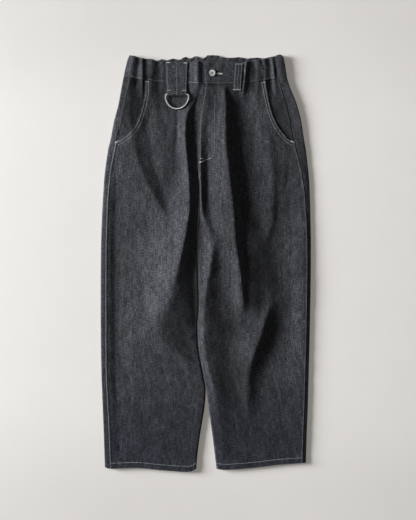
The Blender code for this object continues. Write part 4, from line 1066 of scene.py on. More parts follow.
def pocket_facing(side):
    """The piece that shows in a pocket's mouth: level at the side seam, then under the front."""
    rows = np.concatenate([panel_rows(side)[:POCKET_STEPS - 1], [[POCKET_END[side] - 0.7]]])
    seam, mouth = read(SIDE_SEAM[side], rows) - outwards(side) * HALF_GAP, front_edge(side, rows)
    part = np.linspace(0, 1, FACING_STEPS + 1)[None, :-1]
    under = front_columns(side, rows)[:, :POCKET_UNDERLAP + 1]
    px = np.concatenate([seam + (mouth - seam) * part, under], axis=1)
    parts = np.concatenate([part, np.ones((1, POCKET_UNDERLAP + 1))], axis=1)
    sunk = np.maximum(ease(0, 0.7, parts), ease(POCKET_END[side] - 18, POCKET_END[side] - 8, rows))
    depth = (CLOTH + GAP + LAP_SPARE) * slope_factor(side, px, rows) * sunk
    points = placed(side, px, rows, top_height(side, px, rows) - depth, seam_shift(rows))
    return sided_wall(f"pocket_facing_{side}_cloth", side, points, FACING, FACING_DENIM, (0, 0, 0.8, 0))


for side in SIDES:
    PIECES[f"front_{side}"] = front_panel(side)
    PIECES[f"back_{side}"] = back_panel(side)
    PIECES[f"pocket_facing_{side}"] = pocket_facing(side)

# %% [markdown]
# ## The waistband
#
# The front waistband is flat where the fly buttons, and the back one is drawn in by elastic, which
# throws the gathers at the sides. It is twice as thick as the panels, and its edges are folded, so
# they show wear. The back's free edge stands a little above the front's, as it does on any pair
# that lies on its back.

# %% Waistband
# Height of the back's ripples in metres, their pitch in columns, and the part of the width they begin at
BACK_RIPPLE, BACK_RIPPLE_PITCH, RIPPLE_START = 0.0018, 6.4, 0.86
RIPPLE_SPAN = (162.0, 170.0, 254.0, 262.0)  # columns where they begin, are full, and end again
BAND_END = {"left": 215.0, "right": 204.6}  # columns where the halves end, one under the other
BAND_STEPS, BAND_FLOOR_STEPS, BAND_PITCH = 22, 150, 0.75


def band_point(px, part, top_table, height):
    """Points of the waistband, part of the way from its seam to its top edge."""
    low, high = read(WAIST_SEAM, px), read(top_table, px)
    y = along(low + (high - low) * part) + GAP / 2 * (part == 0)
    return np.stack(np.broadcast_arrays(across(px), y, height), axis=-1)


def band_height(side, px, part):
    """Height of the waistband's outer face, a step above the panels."""
    row = SEAM_ROW - (SEAM_ROW - TOP_ROW) * part
    return top_height(side, px, row, BAND) + STEP


def band_front(side):
    """One half of the front waistband, from the side seam to its end at the fly."""
    parts = np.linspace(0, 1, BAND_STEPS)[:, None]
    start = read(BAND_SEAM[side], parts) - outwards(side) * HALF_GAP
    end = BAND_END[side]
    count = round(abs(end - BAND_SEAM[side][0][1]) / BAND_PITCH) + 1
    px = start + (end - start) * np.linspace(0, 1, count)[None, :]
    points = band_point(px, parts, FRONT_TOP, band_height(side, px, parts))[::-1]
    worn = (1, 0.6, 0.6, 0.8)
    return sided_wall(f"waistband_front_{side}_cloth", side, points, BAND, DENIM, worn, seam_row=-1)


def back_ripple(px, part):
    """How far the back waistband's gathers lift it off the floor at its free edge."""
    span = ease(*RIPPLE_SPAN[:2], px) * (1 - ease(*RIPPLE_SPAN[2:], px))
    wave = (1 - np.cos(2 * math.pi * (px - RIPPLE_SPAN[0]) / BACK_RIPPLE_PITCH)) / 2
    return BACK_RIPPLE * span * ease(RIPPLE_START, 1, part) * wave


def band_back():
    """The back waistband: flat on the floor and folded over both sides to the side seams."""
    parts = np.linspace(0, 1, BAND_STEPS)[:, None]
    brims, columns, heights = {}, {}, {}
    for side in SIDES:
        out = outwards(side)
        brim = read(BAND_OUTER[side], parts) - out * SIDE_ROLL / PIXEL
        seam = read(BAND_SEAM[side], parts) + out * HALF_GAP
        turn_px, turn_height = side_turn(side, brim, band_height(side, brim, parts))
        strip_px = brim + (seam - brim) * strip_parts()
        brims[side] = brim
        columns[side] = np.concatenate([turn_px, strip_px], axis=1)
        heights[side] = np.concatenate([turn_height, band_height(side, strip_px, parts)], axis=1)
    width = brims["right"] - brims["left"]
    floor_px = brims["left"] + width * np.linspace(0, 1, BAND_FLOOR_STEPS)[None, :]
    px = np.concatenate([columns["left"][:, ::-1], floor_px, columns["right"]], axis=1)
    ripple = back_ripple(floor_px, parts)
    height = np.concatenate([heights["left"][:, ::-1], ripple, heights["right"]], axis=1)
    points = band_point(px, parts, BACK_TOP, height)[::-1, ::-1]
    return cloth_wall("waistband_back_cloth", points, BAND, DENIM, (1, 0.6, 0.6, 0.6), seam_row=-1)


for side in SIDES:
    PIECES[f"waistband_front_{side}"] = band_front(side)
PIECES["waistband_back"] = band_back()

# %% [markdown]
# ## Belt loop and tab
#
# Both are long strips of denim, folded in three and sewn down near their edges. A strip follows a
# line along the garment, so it is laid out as a grid too: one set of points down the line, and
# another across it. The belt loop bows up a little between its bartacks. The tab goes down over the
# waistband, round the bar of the ring and back under itself. A closely sewn edge draws the cloth in,
# so a shallow groove follows each row of stitches.

# %% Belt loop and tab
STRIP = 0.0016  # thickness of the folded strip
TAB_TOP_EDGES, TAB_FOLD_EDGES = (165.8, 187.9), (167.3, 186.6)  # left and right columns of the tab
TAB_TOP, TAB_BARTACK, RING_BAR = 63.2, 91.6, 95.0  # rows
TAB_RISE, TAB_RETURN = 9, 0.9  # rows over which the tab rises to the bar, and that it comes back by
RING_TURN = (100, -90, 44)  # degrees where the tab meets and leaves the bar, and steps between them
LOOP_TOP, LOOP_BOTTOM = (234.9, 242.9, 64.4), (233.0, 241.0, 91.6)  # left and right column, and row
LOOP_BOW = 0.0018  # metres that the loop stands off the waistband at its middle
RING_PX, RING_HEIGHT, RING_TILT = 176.95, 0.01238, math.radians(-2.51)
RING_WIRE, RING_CLEAR = 0.0019, 0.0005  # radius of the wire, and its clearance in the tab
ROUNDED_EDGE, ROUNDED_REACH = 0.00055, 0.0007  # how far a folded edge falls away, and from how far in
STITCH_GROOVE, GROOVE_REACH = 0.00028, 0.00055
LOOP_SEWN, TAB_SEWN = (0.14, 0.5, 0.86), (0.055, 0.5, 0.945)  # rows of stitches, as parts of the width
STRIP_COLUMNS, STRIP_ROWS = 41, 60


def ground(side, left, right, row):
    """Highest point of the front between two columns at one row, on the waistband or on the panel."""
    px = np.linspace(left, right, 9)
    seam = read(WAIST_SEAM, px)
    part = (seam - row) / (seam - read(FRONT_TOP, px))
    on_band = band_height(side, px, np.clip(part, 0, 1))
    on_panel = top_height(side, px, np.maximum(row + SEAM_ROW - seam, SEAM_ROW))
    return float(np.max(np.where(part > -0.03, on_band, on_panel)))


def strip_relief(parts, width, sewn):
    """How far a strip's outer face lies below its full height, across its width."""
    from_edge = np.minimum(parts, 1 - parts) * width
    fall = ROUNDED_EDGE * bell(from_edge, ROUNDED_REACH)
    for place in sewn:
        fall = fall + STITCH_GROOVE * bell((parts - place) * width, GROOVE_REACH)
    return fall


def strip_points(line, edges, parts, lower):
    """Points on a strip's outer face: line is its under side's middle, and edges its two columns."""
    line, edges = np.array(line, float), np.array(edges, float)
    heading = np.gradient(line, axis=0)
    heading /= np.linalg.norm(heading, axis=1, keepdims=True)
    out = np.stack([heading[:, 1], -heading[:, 0]], axis=1)
    px = edges[:, :1] + (edges[:, 1:] - edges[:, :1]) * parts
    raised = line[:, None, :] + (STRIP - lower)[..., None] * out[:, None, :]
    return np.stack([across(px), raised[..., 0], raised[..., 1]], axis=-1)


def strip_wall(name, line, edges, sewn):
    """A folded strip of denim along a line."""
    parts = crowded(STRIP_COLUMNS)
    width = (edges[0][1] - edges[0][0]) * PIXEL
    points = strip_points(line, edges, parts, strip_relief(parts, width, sewn))
    return cloth_wall(name, points, STRIP - ROUNDED_EDGE, DENIM, (0.6, 0.6, 1, 1), fold=True)


def loop_line():
    """The belt loop's under side: metres along the garment and up, with its two columns."""
    share = np.linspace(0, 1, STRIP_ROWS)[:, None]
    places = np.array(LOOP_TOP) + (np.array(LOOP_BOTTOM) - np.array(LOOP_TOP)) * share
    bow = LOOP_BOW * np.sin(math.pi * share[:, 0])
    height = np.array([ground("right", *place) for place in places]) + GAP + bow
    return np.stack([along(places[:, 2]), height], axis=1), places[:, :2]


def tab_line():
    """The tab's under side: over the waistband, round the ring's bar and back below it."""
    inside, bar_y = RING_WIRE + RING_CLEAR, float(along(RING_BAR))
    rows = np.linspace(TAB_TOP, TAB_BARTACK, STRIP_ROWS)
    share = ((rows - TAB_TOP) / (RING_BAR - TAB_TOP))[:, None]
    edges = np.array(TAB_TOP_EDGES) + (np.array(TAB_FOLD_EDGES) - np.array(TAB_TOP_EDGES)) * share
    rest = np.array([ground("left", *pair, row) for pair, row in zip(edges, rows)]) + GAP
    rise = ease(TAB_BARTACK - TAB_RISE, TAB_BARTACK, rows)
    rest = rest + (np.maximum(RING_HEIGHT - inside + GAP, rest) - rest) * rise
    line = [(y, z) for y, z in zip(along(rows), rest)]
    line += [(bar_y - inside * math.cos(a), RING_HEIGHT + inside * math.sin(a))
             for a in np.radians(np.linspace(*RING_TURN))]
    end = float(along(TAB_BARTACK + TAB_RETURN))
    line += [(bar_y + (end - bar_y) * t, RING_HEIGHT - inside) for t in (0.33, 0.67, 1.0)]
    edges = np.concatenate([edges, np.tile(TAB_FOLD_EDGES, (len(line) - len(rows), 1))])
    return np.array(line), edges


LOOP_LINE, LOOP_EDGES = loop_line()
TAB_LINE, TAB_EDGES = tab_line()
PIECES["belt_loop"] = strip_wall("belt_loop_cloth", LOOP_LINE, LOOP_EDGES, LOOP_SEWN)
PIECES["ring_tab"] = strip_wall("ring_tab_cloth", TAB_LINE, TAB_EDGES, TAB_SEWN)

# %% [markdown]
# ## Ring and button
#
# The ring is one bent and welded wire: a straight bar, two tight corners and a bow. Sweeping a circle
# along its centre line gives that exactly. The button is stamped and turned, so its profile is
# spun: a raised rim, a sunken ring and a plain, slightly domed middle.

# %% Ring
# Half width and drop to the middle of the wire, and the corners' radius, in metres
RING_HALF, RING_DROP, RING_CORNER = 0.0265, 0.0327, 0.0044
RING_SIDES, BUTTON_SIDES = 20, 72


def ring_centre_line():
    """Middle of the ring's wire in its own plane: across, and down from its bar."""
    bar = RING_HALF - RING_CORNER
    path = [(bar * t, 0.0) for t in np.linspace(-1, 1, 13)]
    corner = [(math.sin(a), 1 - math.cos(a)) for a in np.radians(np.linspace(0, 90, 9))]
    path += [(bar + RING_CORNER * over, RING_CORNER * down) for over, down in corner[1:]]
    for angle in np.radians(np.linspace(0, 180, 61))[1:]:
        path.append((RING_HALF * math.cos(angle), RING_CORNER + (RING_DROP - RING_CORNER) * math.sin(angle)))
    path += [(-bar - RING_CORNER * over, RING_CORNER * down) for over, down in corner[-2:0:-1]]
    return path


def nickel_ring():
    """The ring, hanging from the tab at its rest angle: a round wire along a closed line."""
    dip_cos, dip_sin = math.cos(RING_TILT), math.sin(RING_TILT)
    down_unit, up_unit = np.array([0, -dip_cos, dip_sin]), np.array([0, dip_sin, dip_cos])
    place = np.array([float(across(RING_PX)), float(along(RING_BAR)), RING_HEIGHT])
    flat = np.array(ring_centre_line())
    middle = place + flat[:, :1] * np.array([1, 0, 0]) + flat[:, 1:] * down_unit
    heading = np.roll(middle, -1, axis=0) - np.roll(middle, 1, axis=0)
    heading /= np.linalg.norm(heading, axis=1, keepdims=True)
    angle = 2 * math.pi * (np.arange(RING_SIDES)[None, :, None] + 0.5) / RING_SIDES
    around = np.cos(angle) * np.cross(heading, up_unit)[:, None, :] + np.sin(angle) * up_unit
    points = middle[:, None, :] + RING_WIRE * around
    number = np.arange(len(middle) * RING_SIDES).reshape(len(middle), RING_SIDES)
    after, beside = np.roll(number, -1, axis=0), np.roll(number, -1, axis=1)
    faces = np.stack([number, beside, np.roll(after, -1, axis=1), after], axis=-1).reshape(-1, 4)
    mesh = bpy.data.meshes.new("d_ring_wire")
    mesh.from_pydata(points.reshape(-1, 3).tolist(), [], faces.tolist())
    return finish_cloth("d_ring_wire", mesh, RING_METAL)


PIECES["d_ring"] = nickel_ring()

# %% Button
BUTTON_PX, BUTTON_PY, BUTTON_FOOT = 212.2, 73.6, 0.0042  # column, row, and radius of its foot
BUTTON_ANGLE = 75  # degrees between two faces from which an edge is sharp
DARK_MIDDLE, DULLED = 0.0030, 0.30  # radius of the tarnished middle of its face, and how dull the rest is
# Radius and height above the cloth, in metres
BUTTON_PROFILE = [
    (0, 0), (0.0042, 0), (0.0042, 0.0009), (0.006, 0.001), (0.0078, 0.0012), (0.0084, 0.0014),
    (0.0085, 0.0017), (0.0082, 0.0021), (0.0076, 0.0026), (0.007, 0.003), (0.0064, 0.0033),
    (0.0056, 0.0034), (0.0049, 0.0033), (0.0042, 0.003), (0.0036, 0.0026), (0.0031, 0.0024),
    (0.0025, 0.0025), (0.0019, 0.0027), (0.001, 0.0028), (0, 0.0028),
]


def jeans_button():
    """The button, seated square to the cloth under it."""
    reach, px, row = BUTTON_FOOT / PIXEL, BUTTON_PX, BUTTON_PY
    left, right = (ground("right", px + s * reach, px + s * reach, row) for s in (-1, 1))
    up, down = (ground("right", px, px, row + s * reach) for s in (-1, 1))
    lean = np.array([-(right - left), -(up - down), 2 * BUTTON_FOOT])
    lean /= np.linalg.norm(lean)
    over = np.cross((0, 1, 0), lean)
    over /= np.linalg.norm(over)
    beside = np.cross(lean, over)
    seat = ground("right", px - reach, px + reach, row) + GAP
    rest = np.array([float(across(px)), float(along(row)), seat])
    turn = 2 * math.pi * np.arange(BUTTON_SIDES) / BUTTON_SIDES
    outwards_at = np.cos(turn)[:, None] * over + np.sin(turn)[:, None] * beside
    inner = BUTTON_PROFILE[1:-1]
    points = [rest + BUTTON_PROFILE[0][1] * lean, rest + BUTTON_PROFILE[-1][1] * lean]
    for radius, height in inner:
        points.extend(rest + radius * outwards_at + height * lean)
    number = 2 + np.arange(len(inner) * BUTTON_SIDES).reshape(len(inner), BUTTON_SIDES)
    beyond = np.roll(number, -1, axis=1)
    faces = np.stack([number[:-1], beyond[:-1], beyond[1:], number[1:]], axis=-1).reshape(-1, 4).tolist()
    faces += [(0, int(b), int(a)) for a, b in zip(number[0], beyond[0])]
    faces += [(1, int(a), int(b)) for a, b in zip(number[-1], beyond[-1])]
    mesh = bpy.data.meshes.new("button_face")
    mesh.from_pydata([tuple(p) for p in points], [], faces)
    middle = [radius < DARK_MIDDLE for radius, height in inner for _ in range(BUTTON_SIDES)]
    add_mark(mesh, "tarnish", np.where([False, True, *middle], 1.0, DULLED))
    return finish_cloth("button_face", mesh, BUTTON_METAL, BUTTON_ANGLE)


PIECES["button"] = jeans_button()

# %% [markdown]
# ## Sewing
#
# Each row of stitches is the same small thread arch, repeated along a line. Geometry Nodes do this
# well: Curve to Points spaces them, Instance on Points sets one at each, and their rotation follows
# the line. One tree serves every row, because its pitch, length, thickness, turn and thread are
# named inputs. A bartack is the same tree with short, close stitches turned across the line.

# %% The sewing tree
ARCH_RISE, ARCH_DIP = 0.35, 1.9  # a stitch's middle above its line, and its ends below that, in radii


def sewing_tree():
    """Geometry nodes that sew along a line."""
    tree = bpy.data.node_groups.new("sewing", "GeometryNodeTree")
    sockets = {"Line": "Geometry", "Pitch": "Float", "Length": "Float", "Radius": "Float", "Turn": "Float",
               "Waver": "Float", "Seed": "Int", "Thread": "Material"}
    for label, kind in sockets.items():
        tree.interface.new_socket(label, in_out="INPUT", socket_type="NodeSocket" + kind)
    tree.interface.new_socket("Stitches", in_out="OUTPUT", socket_type="NodeSocketGeometry")
    graph = Graph(tree)
    start = tree.nodes.new("NodeGroupInput")
    given = {label: Wire(graph, start.outputs[label]) for label in sockets}
    half = given["Length"] * 0.5
    ends = {"Start": graph.join(half * -1), "End": graph.join(half)}
    bar = graph.add("GeometryNodeCurvePrimitiveLine", None, ends)
    bar = graph.add("GeometryNodeResampleCurve", None, {"Curve": bar, "Count": 6})
    along_bar = (graph.split(graph.add("GeometryNodeInputPosition"), 0) / half) ** 2
    dip = given["Radius"] * (ARCH_RISE - along_bar * along_bar * ARCH_DIP)
    bar = graph.add("GeometryNodeSetPosition", None, {"Geometry": bar, "Offset": graph.join(z=dip)})
    round_profile = {"Resolution": 6, "Radius": given["Radius"]}
    profile = graph.add("GeometryNodeCurvePrimitiveCircle", None, round_profile)
    swept = {"Curve": bar, "Profile Curve": profile, "Fill Caps": True}
    stitch = graph.add("GeometryNodeCurveToMesh", None, swept)
    line = graph.add("GeometryNodeMeshToCurve", None, {"Mesh": given["Line"]})
    spacing = {"Curve": line, "Length": given["Pitch"]}
    spaced = graph.add("GeometryNodeCurveToPoints", {"mode": "LENGTH"}, spacing)
    tangent = Wire(graph, spaced.output.node.outputs["Tangent"])
    facing = graph.add("FunctionNodeAlignRotationToVector", {"axis": "X"}, {"Vector": tangent})
    swing = {2: given["Waver"] * -1, 3: given["Waver"], "Seed": given["Seed"]}
    waver = graph.add("FunctionNodeRandomValue", {"data_type": "FLOAT"}, swing, output=1)
    turned = {"Axis": (0.0, 0.0, 1.0), "Angle": given["Turn"] + waver}
    turned = graph.add("FunctionNodeAxisAngleToRotation", None, turned)
    turned = {"Rotation": facing, 1: turned}
    facing = graph.add("FunctionNodeRotateRotation", {"rotation_space": "LOCAL"}, turned)
    each = {"Points": spaced, "Instance": stitch, "Rotation": facing}
    sewn = graph.add("GeometryNodeInstanceOnPoints", None, each)
    sewn = graph.add("GeometryNodeRealizeInstances", None, {"Geometry": sewn})
    sewn = graph.add("GeometryNodeSetShadeSmooth", None, {"Geometry": sewn})
    sewn = graph.add("GeometryNodeSetMaterial", None, {"Geometry": sewn, "Material": given["Thread"]})
    end = tree.nodes.new("NodeGroupOutput")
    graph.feed(end.inputs[0], sewn)
    return tree


SEWING = sewing_tree()
TOP_STITCH = {"Pitch": 0.0032, "Length": 0.0027, "Radius": 0.00034, "Turn": 0.0, "Waver": 0.05}
BARTACK = {"Pitch": 0.00036, "Length": 0.0014, "Radius": 0.00023, "Turn": math.pi / 2, "Waver": 0.12}
# Metres that a line of thread lies above the cloth: rows, bartacks, those on strips, and the buttonhole
LIFT, TACK_LIFT, STRIP_TACK_LIFT, HOLE_LIFT = 0.00012, 0.00025, 0.0002, 0.0002
UNDER_LIFT = 0.0001  # and for the back hems, metres into the cloth of the underside
SEWN = {}


def sew(name, lines, stitch, thread, seed, **changes):
    """Sews along some lines of points, and keeps the result as a plain mesh."""
    points = np.concatenate(lines)
    starts = np.cumsum([0] + [len(line) for line in lines])
    edges = [(i, i + 1) for a, b in zip(starts, starts[1:]) for i in range(a, b - 1)]
    mesh = bpy.data.meshes.new(name)
    mesh.from_pydata(points.tolist(), edges, [])
    made = linked(name, mesh)
    modifier = made.modifiers.new("sewing", "NODES")
    modifier.node_group = SEWING
    values = {**stitch, "Seed": seed, "Thread": thread, **changes}
    for socket in SEWING.interface.items_tree:
        if socket.in_out == "INPUT" and socket.name in values:
            modifier[socket.identifier] = values[socket.name]
    evaluated = made.evaluated_get(bpy.context.evaluated_depsgraph_get())
    made.data = bpy.data.meshes.new_from_object(evaluated)
    made.modifiers.clear()
    made.data.materials.clear()
    made.data.materials.append(thread)
    bpy.data.meshes.remove(mesh)
    print(f"{name}: {len(lines)} rows, {triangle_count(made.data)} triangles")
    SEWN[name] = made


def on_front(side, px, row, lift=LIFT):
    """Points just above a front panel."""
    return placed(side, px, row, top_height(side, px, row) + lift)


def on_band(side, px, part, lift=LIFT):
    """Points just above the front waistband."""
    return band_point(px, part, FRONT_TOP, band_height(side, px, part) + lift)


def on_strip(line, edges, place, last):
    """Points in a strip's groove, at one part of its width, from near its top to one of its rows."""
    parts = np.full((1, 1), place)
    return strip_points(line, edges, parts, np.full((1, 1), STITCH_GROOVE - LIFT))[2:last, 0]


# %% [markdown]
# ## Long seams
#
# The visible rows are the hems, the side seams, the waist seam and the doubled pocket mouths. Their
# lines come from the same tables as the panels, so they stay on the cloth at every fold. The hidden
# backs have their hems sewn as well.

# %% Long seams
HEM_SEWN = 462.4  # row of the hem's stitches
HEM_MARGIN = 1.6  # columns from a panel's edge where its hem stitching starts
SEAM_SEWN = 0.9  # columns in front of the side seam
MOUTH_SEWN = (1.3, 3.7)  # columns inside the pocket's mouth
WAIST_SEWN = 0.055  # part of the waistband's width above its seam
WAIST_ROWS = [("left", 131, 188), ("right", 205.6, 278)]  # side, and columns of the fine rows at the waist
TAB_TO_FLY = ("left", 188.5, 202.6)  # the same for the stronger row between the tab and the fly


def hem_columns(side, edges, margin, count):
    """Columns along a hem from left to right, a margin inside its ends."""
    low, high = sorted((float(read(edges[side], HEM_SEWN)), float(inner_edge(side, HEM_SEWN))))
    return np.linspace(low + margin, high - margin, count)


def hem_line(side):
    """The front's hem."""
    return on_front(side, hem_columns(side, SIDE_SEAM, HEM_MARGIN, 90), HEM_SEWN)


def back_hem_line(side):
    """The back's hem on the underside."""
    return placed(side, hem_columns(side, OUTER, 2 * HEM_MARGIN, 60), HEM_SEWN, UNDER_LIFT)


def side_line(side):
    """The row of stitches in front of the side seam, from below the pocket to the hem."""
    rows = np.linspace(POCKET_END[side] + 2, HEM_ROW - 1, 260)
    return on_front(side, read(SIDE_SEAM[side], rows) - outwards(side) * SEAM_SEWN, rows)


def mouth_line(side, inside):
    """A row of stitches along the pocket's mouth."""
    rows = np.linspace(SEAM_ROW + 0.8, POCKET_END[side] - 0.5, 90)
    mouth = read(POCKET_MOUTH[side], rows)
    slope = np.gradient(mouth, rows)
    steep = np.sqrt(1 + slope**2)
    aside = outwards(side) * inside / steep
    return on_front(side, mouth - aside, rows + aside * slope)


def waist_line(side, first, last):
    """A row of stitches on the waistband just above its seam, between two columns."""
    return on_band(side, np.linspace(first, last, 110), WAIST_SEWN)


sew("hem_stitches", [hem_line(side) for side in SIDES], TOP_STITCH, HEM_THREAD, 2, Radius=0.00038)
sew("back_hem_stitches", [back_hem_line(side) for side in SIDES], TOP_STITCH, HEM_THREAD, 3)
sew("side_stitches", [side_line(side) for side in SIDES], TOP_STITCH, GREY_THREAD, 4, Radius=0.00025)
lines = [waist_line(*ends) for ends in WAIST_ROWS]
sew("waist_stitches", lines, TOP_STITCH, GREY_THREAD, 5, Radius=0.00020)
sew("front_waist_stitches", [waist_line(*TAB_TO_FLY)], TOP_STITCH, HEM_THREAD, 15, Radius=0.00034)
lines = [mouth_line(side, inside) for side in SIDES for inside in MOUTH_SEWN]
sew("pocket_stitches", lines, TOP_STITCH, HEM_THREAD, 6, Radius=0.00028)

# %% [markdown]
# ## Fly, loop and tab
#
# The fly's facing is caught down by the curved row that ends in two bartacks. The belt loop and the
# tab are sewn along both edges and their middle, and bartacked at their ends.

# %% Fly, loop and tab
# Column and row, down the fly's facing
FLY_CURVE = [
    (214.9, 96), (214.7, 120), (214.6, 140), (214.4, 150), (213.6, 155), (211.4, 158), (208.3, 159.5),
    (205, 160.5), (202.4, 161.7), (200.2, 162.9),
]
FLY_EDGE_SEWN = 3.0  # columns inside the fly's edge
TAB_SEWN_END, LOOP_SEWN_END = 96, 58  # grid rows where the stitches on the tab and the loop end
FLY_END_POINT = 66  # point of the curved row from which it has the bartacks' thread
# Bartacks on the panels: start and end, each as a column and a row
FLY_TACKS = [((200.6, 159.2), (203.4, 158.9)), ((199.9, 162.9), (204.2, 161.4))]
POCKET_END_TACKS = {"left": ((115.4, 143.4), (118.4, 141.9)), "right": ((290.6, 141.4), (294.4, 143.1))}
POCKET_TOP_TACKS = {"left": ((145.2, 85.2), (149.2, 85.2)), "right": ((261.8, 86.0), (265.6, 86.0))}
# Bartacks across the tab: parts of its width, and row of its grid
TAB_TACKS = [(0.02, 0.19, 0), (0.82, 0.98, 1), (0.02, 0.19, 58), (0.78, 0.98, 59)]
LOOP_TACKS = [(0.02, 0.98, 56), (0.02, 0.98, 1)]


def fly_curve():
    """The curved row of the fly, from the waist to its bartacks."""
    columns, rows = zip(*FLY_CURVE)
    path = np.linspace(0, len(FLY_CURVE) - 1, 110)
    return on_front("right", smooth(range(len(columns)), columns, path), smooth(range(len(rows)), rows, path))


def fly_edge_line():
    """The row along the fly's edge."""
    rows = np.linspace(SEAM_ROW + 0.6, 157, 90)
    return on_front("right", read(FLY_EDGE, rows) + FLY_EDGE_SEWN, rows)


def tack(side, start, end):
    """A short line on a front panel, for a bartack, from its lower column to its higher one."""
    share = np.linspace(0, 1, 12)
    px, row = (start[i] + (end[i] - start[i]) * share for i in (0, 1))
    return on_front(side, px, row, TACK_LIFT)


def strip_tack(line, edges, first, last, row):
    """A bartack across a strip, between two parts of its width."""
    places = np.linspace(first, last, 12)[None, :]
    return strip_points(line, edges, places, np.full(places.shape, -STRIP_TACK_LIFT))[row]


lines = [on_strip(LOOP_LINE, LOOP_EDGES, place, LOOP_SEWN_END) for place in LOOP_SEWN]
lines += [on_strip(TAB_LINE, TAB_EDGES, place, TAB_SEWN_END) for place in TAB_SEWN]
sew("strip_stitches", lines, TOP_STITCH, GREY_THREAD, 7, Radius=0.00032)
sew("fly_stitches", [fly_curve(), fly_edge_line()], TOP_STITCH, GREY_THREAD, 8, Radius=0.00026)
sew("fly_bottom_stitches", [fly_curve()[FLY_END_POINT:]], TOP_STITCH, PALE_THREAD, 9)
tab_tacks = [strip_tack(TAB_LINE, TAB_EDGES, *ends) for ends in TAB_TACKS]
loop_tacks = [strip_tack(LOOP_LINE, LOOP_EDGES, *ends) for ends in LOOP_TACKS]
sew("tab_top_bartacks", tab_tacks[:2], BARTACK, PALE_THREAD, 10)
sew("strip_bartacks", tab_tacks[2:] + loop_tacks[:1], BARTACK, HEM_THREAD, 16)
sew("loop_top_bartack", loop_tacks[1:], BARTACK, GREY_THREAD, 13)
sew("fly_bartacks", [tack("right", *ends) for ends in FLY_TACKS], BARTACK, PALE_THREAD, 17, Length=0.0024)
tacks = [tack(side, *ends) for side, ends in POCKET_END_TACKS.items()]
sew("panel_bartacks", tacks, BARTACK, PALE_THREAD, 11, Length=0.0012)
tacks = [tack(side, *ends) for side, ends in POCKET_TOP_TACKS.items()]
sew("pocket_top_bartacks", tacks, BARTACK, GREY_THREAD, 14)

# %% [markdown]
# ## Buttonhole
#
# A keyhole buttonhole has an eye at the button's end, a slit, and a bartack at the far end, with
# close stitches round all of it. The stitches follow one closed line, turned across it.

# %% Buttonhole
EYE_PX, SLIT_END, HOLE_ROW = 217.5, 222.6, 74.4  # columns of the eye and the slit's end, and their row
EYE_RADIUS, SLIT_HALF = 0.70, 0.72  # in columns
SLIT_TAPER = 0.85  # part of its half width that the slit has lost at its end


def buttonhole_line():
    """Round the eye and both sides of the slit."""
    angle = np.radians(np.linspace(40, 320, 19))
    eye = np.stack([EYE_PX + EYE_RADIUS * np.cos(angle), HOLE_ROW + EYE_RADIUS * np.sin(angle)], axis=1)
    away = np.linspace(EYE_PX + 0.9, SLIT_END, 12)
    spread = SLIT_HALF * (1 - SLIT_TAPER * np.linspace(0, 1, 12))
    lower, upper = (np.stack([away, HOLE_ROW + sign * spread], axis=1) for sign in (1, -1))
    px, row = np.concatenate([lower[::-1], eye, upper]).T
    part = (read(WAIST_SEAM, px) - row) / (read(WAIST_SEAM, px) - read(FRONT_TOP, px))
    return on_band("right", px, part, HOLE_LIFT)


sew("buttonhole_stitches", [buttonhole_line()], BARTACK, PALE_THREAD, 12, Length=0.0016, Pitch=0.0004)

# %% [markdown]
# ## Floor and light
#
# The jeans lie on a pale, softly mottled surface, and the light comes low from the left, which is
# what draws the folds. One large, far area light gives soft shadows that still have a direction, and
# a dim, even sky fills them. The room's other light reaches the floor all over, so the floor glows
# faintly and its shadows stay pale. Bright metal shows what is around it, so a white board hangs
# over the camera and is seen only in reflections, and the low window, which would burn out in them,
# is left out of them. The floor belongs to the stage, not to the part.

# %% Floor and light
FLOOR_DROP = 0.0005  # metres below the garment's underside, so that the two never flicker
FLOOR_HALF = 3.0  # metres
FLOOR_COLOURS = ((0.80, 0.79, 0.778, 1), (0.86, 0.85, 0.838, 1))
# The floor's painted shade towards its two ends and painted light towards its far side, away from the window:
END_SHADE, FAR_SIDE = (0.30, 0.58), (-0.30, 0.30)  # metres over which the floor darkens and brightens
NEAR_TONE, SIDE_GAIN, END_LOSS = 0.94, 0.16, 0.12  # its tone at the near side, and these two changes
LIGHT_DISTANCE, LIGHT_SIZE, LIGHT_POWER = 5.0, 2.2, 680.0
LIGHT_AZIMUTH, LIGHT_ELEVATION = math.radians(170), math.radians(19)
SKY = 0.06  # strength
ROOM_LIGHT, FLOOR_SHARE = (0.180, 0.165, 0.148, 1), 0.757  # glow, and what is left of its own colour
BOARD_HEIGHT, BOARD_SIZE, BOARD_POWER = 3.4, 3.6, 90.0


def pale_floor():
    """The pale surface under the jeans."""
    material, graph, shader = new_finish("pale_surface")
    place = graph.object_place()
    plain = graph.blend(graph.noise(place, 9.0, 5.0, 0.6), *FLOOR_COLOURS)
    down = graph.split(place, 1)
    # painted shade towards the floor's ends, and painted light towards its far side
    ends = down.maths("ABSOLUTE", down).rise(*END_SHADE)
    side_light = graph.split(place, 0).rise(*FAR_SIDE) * SIDE_GAIN
    tone = (NEAR_TONE + side_light - ends * END_LOSS) * FLOOR_SHARE
    graph.fill(shader, {
        "Base Color": graph.times(plain, graph.join(tone, tone, tone)),
        "Roughness": 0.9,
        "Emission Color": ROOM_LIGHT,
        "Emission Strength": 1.0,
    })
    mesh = bpy.data.meshes.new("pale_surface")
    h, z = FLOOR_HALF, -FLOOR_DROP
    mesh.from_pydata([(-h, -h, z), (h, -h, z), (h, h, z), (-h, h, z)], [], [(0, 1, 2, 3)])
    mesh.materials.append(material)
    return linked("pale_surface", mesh)


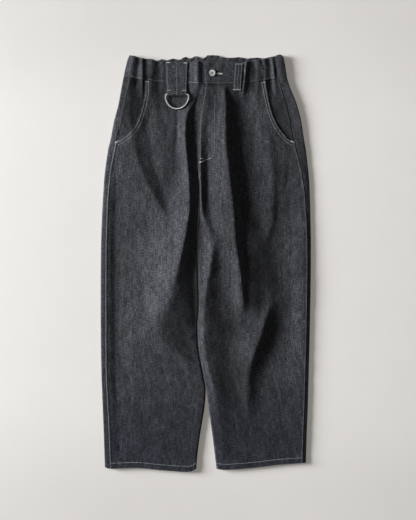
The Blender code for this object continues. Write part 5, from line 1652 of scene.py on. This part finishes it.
pale_floor()
bulb = bpy.data.lights.new("window", "AREA")
bulb.shape, bulb.size, bulb.energy = "DISK", LIGHT_SIZE, LIGHT_POWER
window = linked("window", bulb)
flat = LIGHT_DISTANCE * math.cos(LIGHT_ELEVATION)
window.location = (flat * math.cos(LIGHT_AZIMUTH), flat * math.sin(LIGHT_AZIMUTH),
                   LIGHT_DISTANCE * math.sin(LIGHT_ELEVATION))
window.rotation_euler = window.location.to_track_quat("Z", "Y").to_euler()
window.visible_glossy = False
board = bpy.data.lights.new("white_board", "AREA")
board.size, board.energy = BOARD_SIZE, BOARD_POWER
white_board = linked("white_board", board)
white_board.location = (0, 0, BOARD_HEIGHT)
white_board.visible_diffuse = False
white_board.visible_camera = False
sky = bpy.data.worlds.new("sky")
sky.use_nodes = True
background = sky.node_tree.nodes["Background"]
background.inputs["Color"].default_value = (1, 1, 1, 1)
background.inputs["Strength"].default_value = SKY
bpy.context.scene.world = sky
bpy.context.scene.view_settings.view_transform = "Standard"
print("light at", [round(v, 2) for v in window.location])

# %% [markdown]
# ## Tie each piece to its body
#
# Last, each piece is tied to the body that it moves with, and each cloth piece prints its area beside
# that of the cut it comes from. The sizes are those of the flat pattern piece, with its seam and hem
# allowances.

# %% Tie the pieces to the bodies
# Node, width and length of its rectangle and area of the cut in it, in metres, and what it lies on
CUTS = {
    "front_left": (0.30, 0.940, 0.240, ["back_left"]),
    "front_right": (0.30, 0.940, 0.240, ["back_right"]),
    "back_left": (0.30, 0.955, 0.256, ["pale_surface"]),
    "back_right": (0.30, 0.955, 0.256, ["pale_surface"]),
    "pocket_facing_left": (0.080, 0.150, 0.0078, ["back_left"]),
    "pocket_facing_right": (0.080, 0.150, 0.0078, ["back_right"]),
    "waistband_front_left": (0.210, 0.054, None, ["waistband_back"]),
    "waistband_front_right": (0.190, 0.054, None, ["waistband_back"]),
    "waistband_back": (0.440, 0.064, None, ["pale_surface"]),
    "belt_loop": (0.019, 0.068, None, ["waistband_front_right"]),
    "ring_tab": (0.051, 0.092, None, ["waistband_front_left"]),
}


def cloth_area(piece):
    """Square metres of one face of a closed wall."""
    return sum(face.area for face in piece.data.polygons) / 2


for thread in SEWN.values():
    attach(thread, "garment")
for node, piece in PIECES.items():
    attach(piece, "ring" if node == "d_ring" else "garment")
    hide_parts(node)
    if node in CUTS:
        width, length, area, under = CUTS[node]
        under = [PIECES[name].name if name in PIECES else name for name in under]
        cut = area or width * length
        print(f"{node}: cloth {cloth_area(piece):.4f} of {cut:.4f} m2 cut")
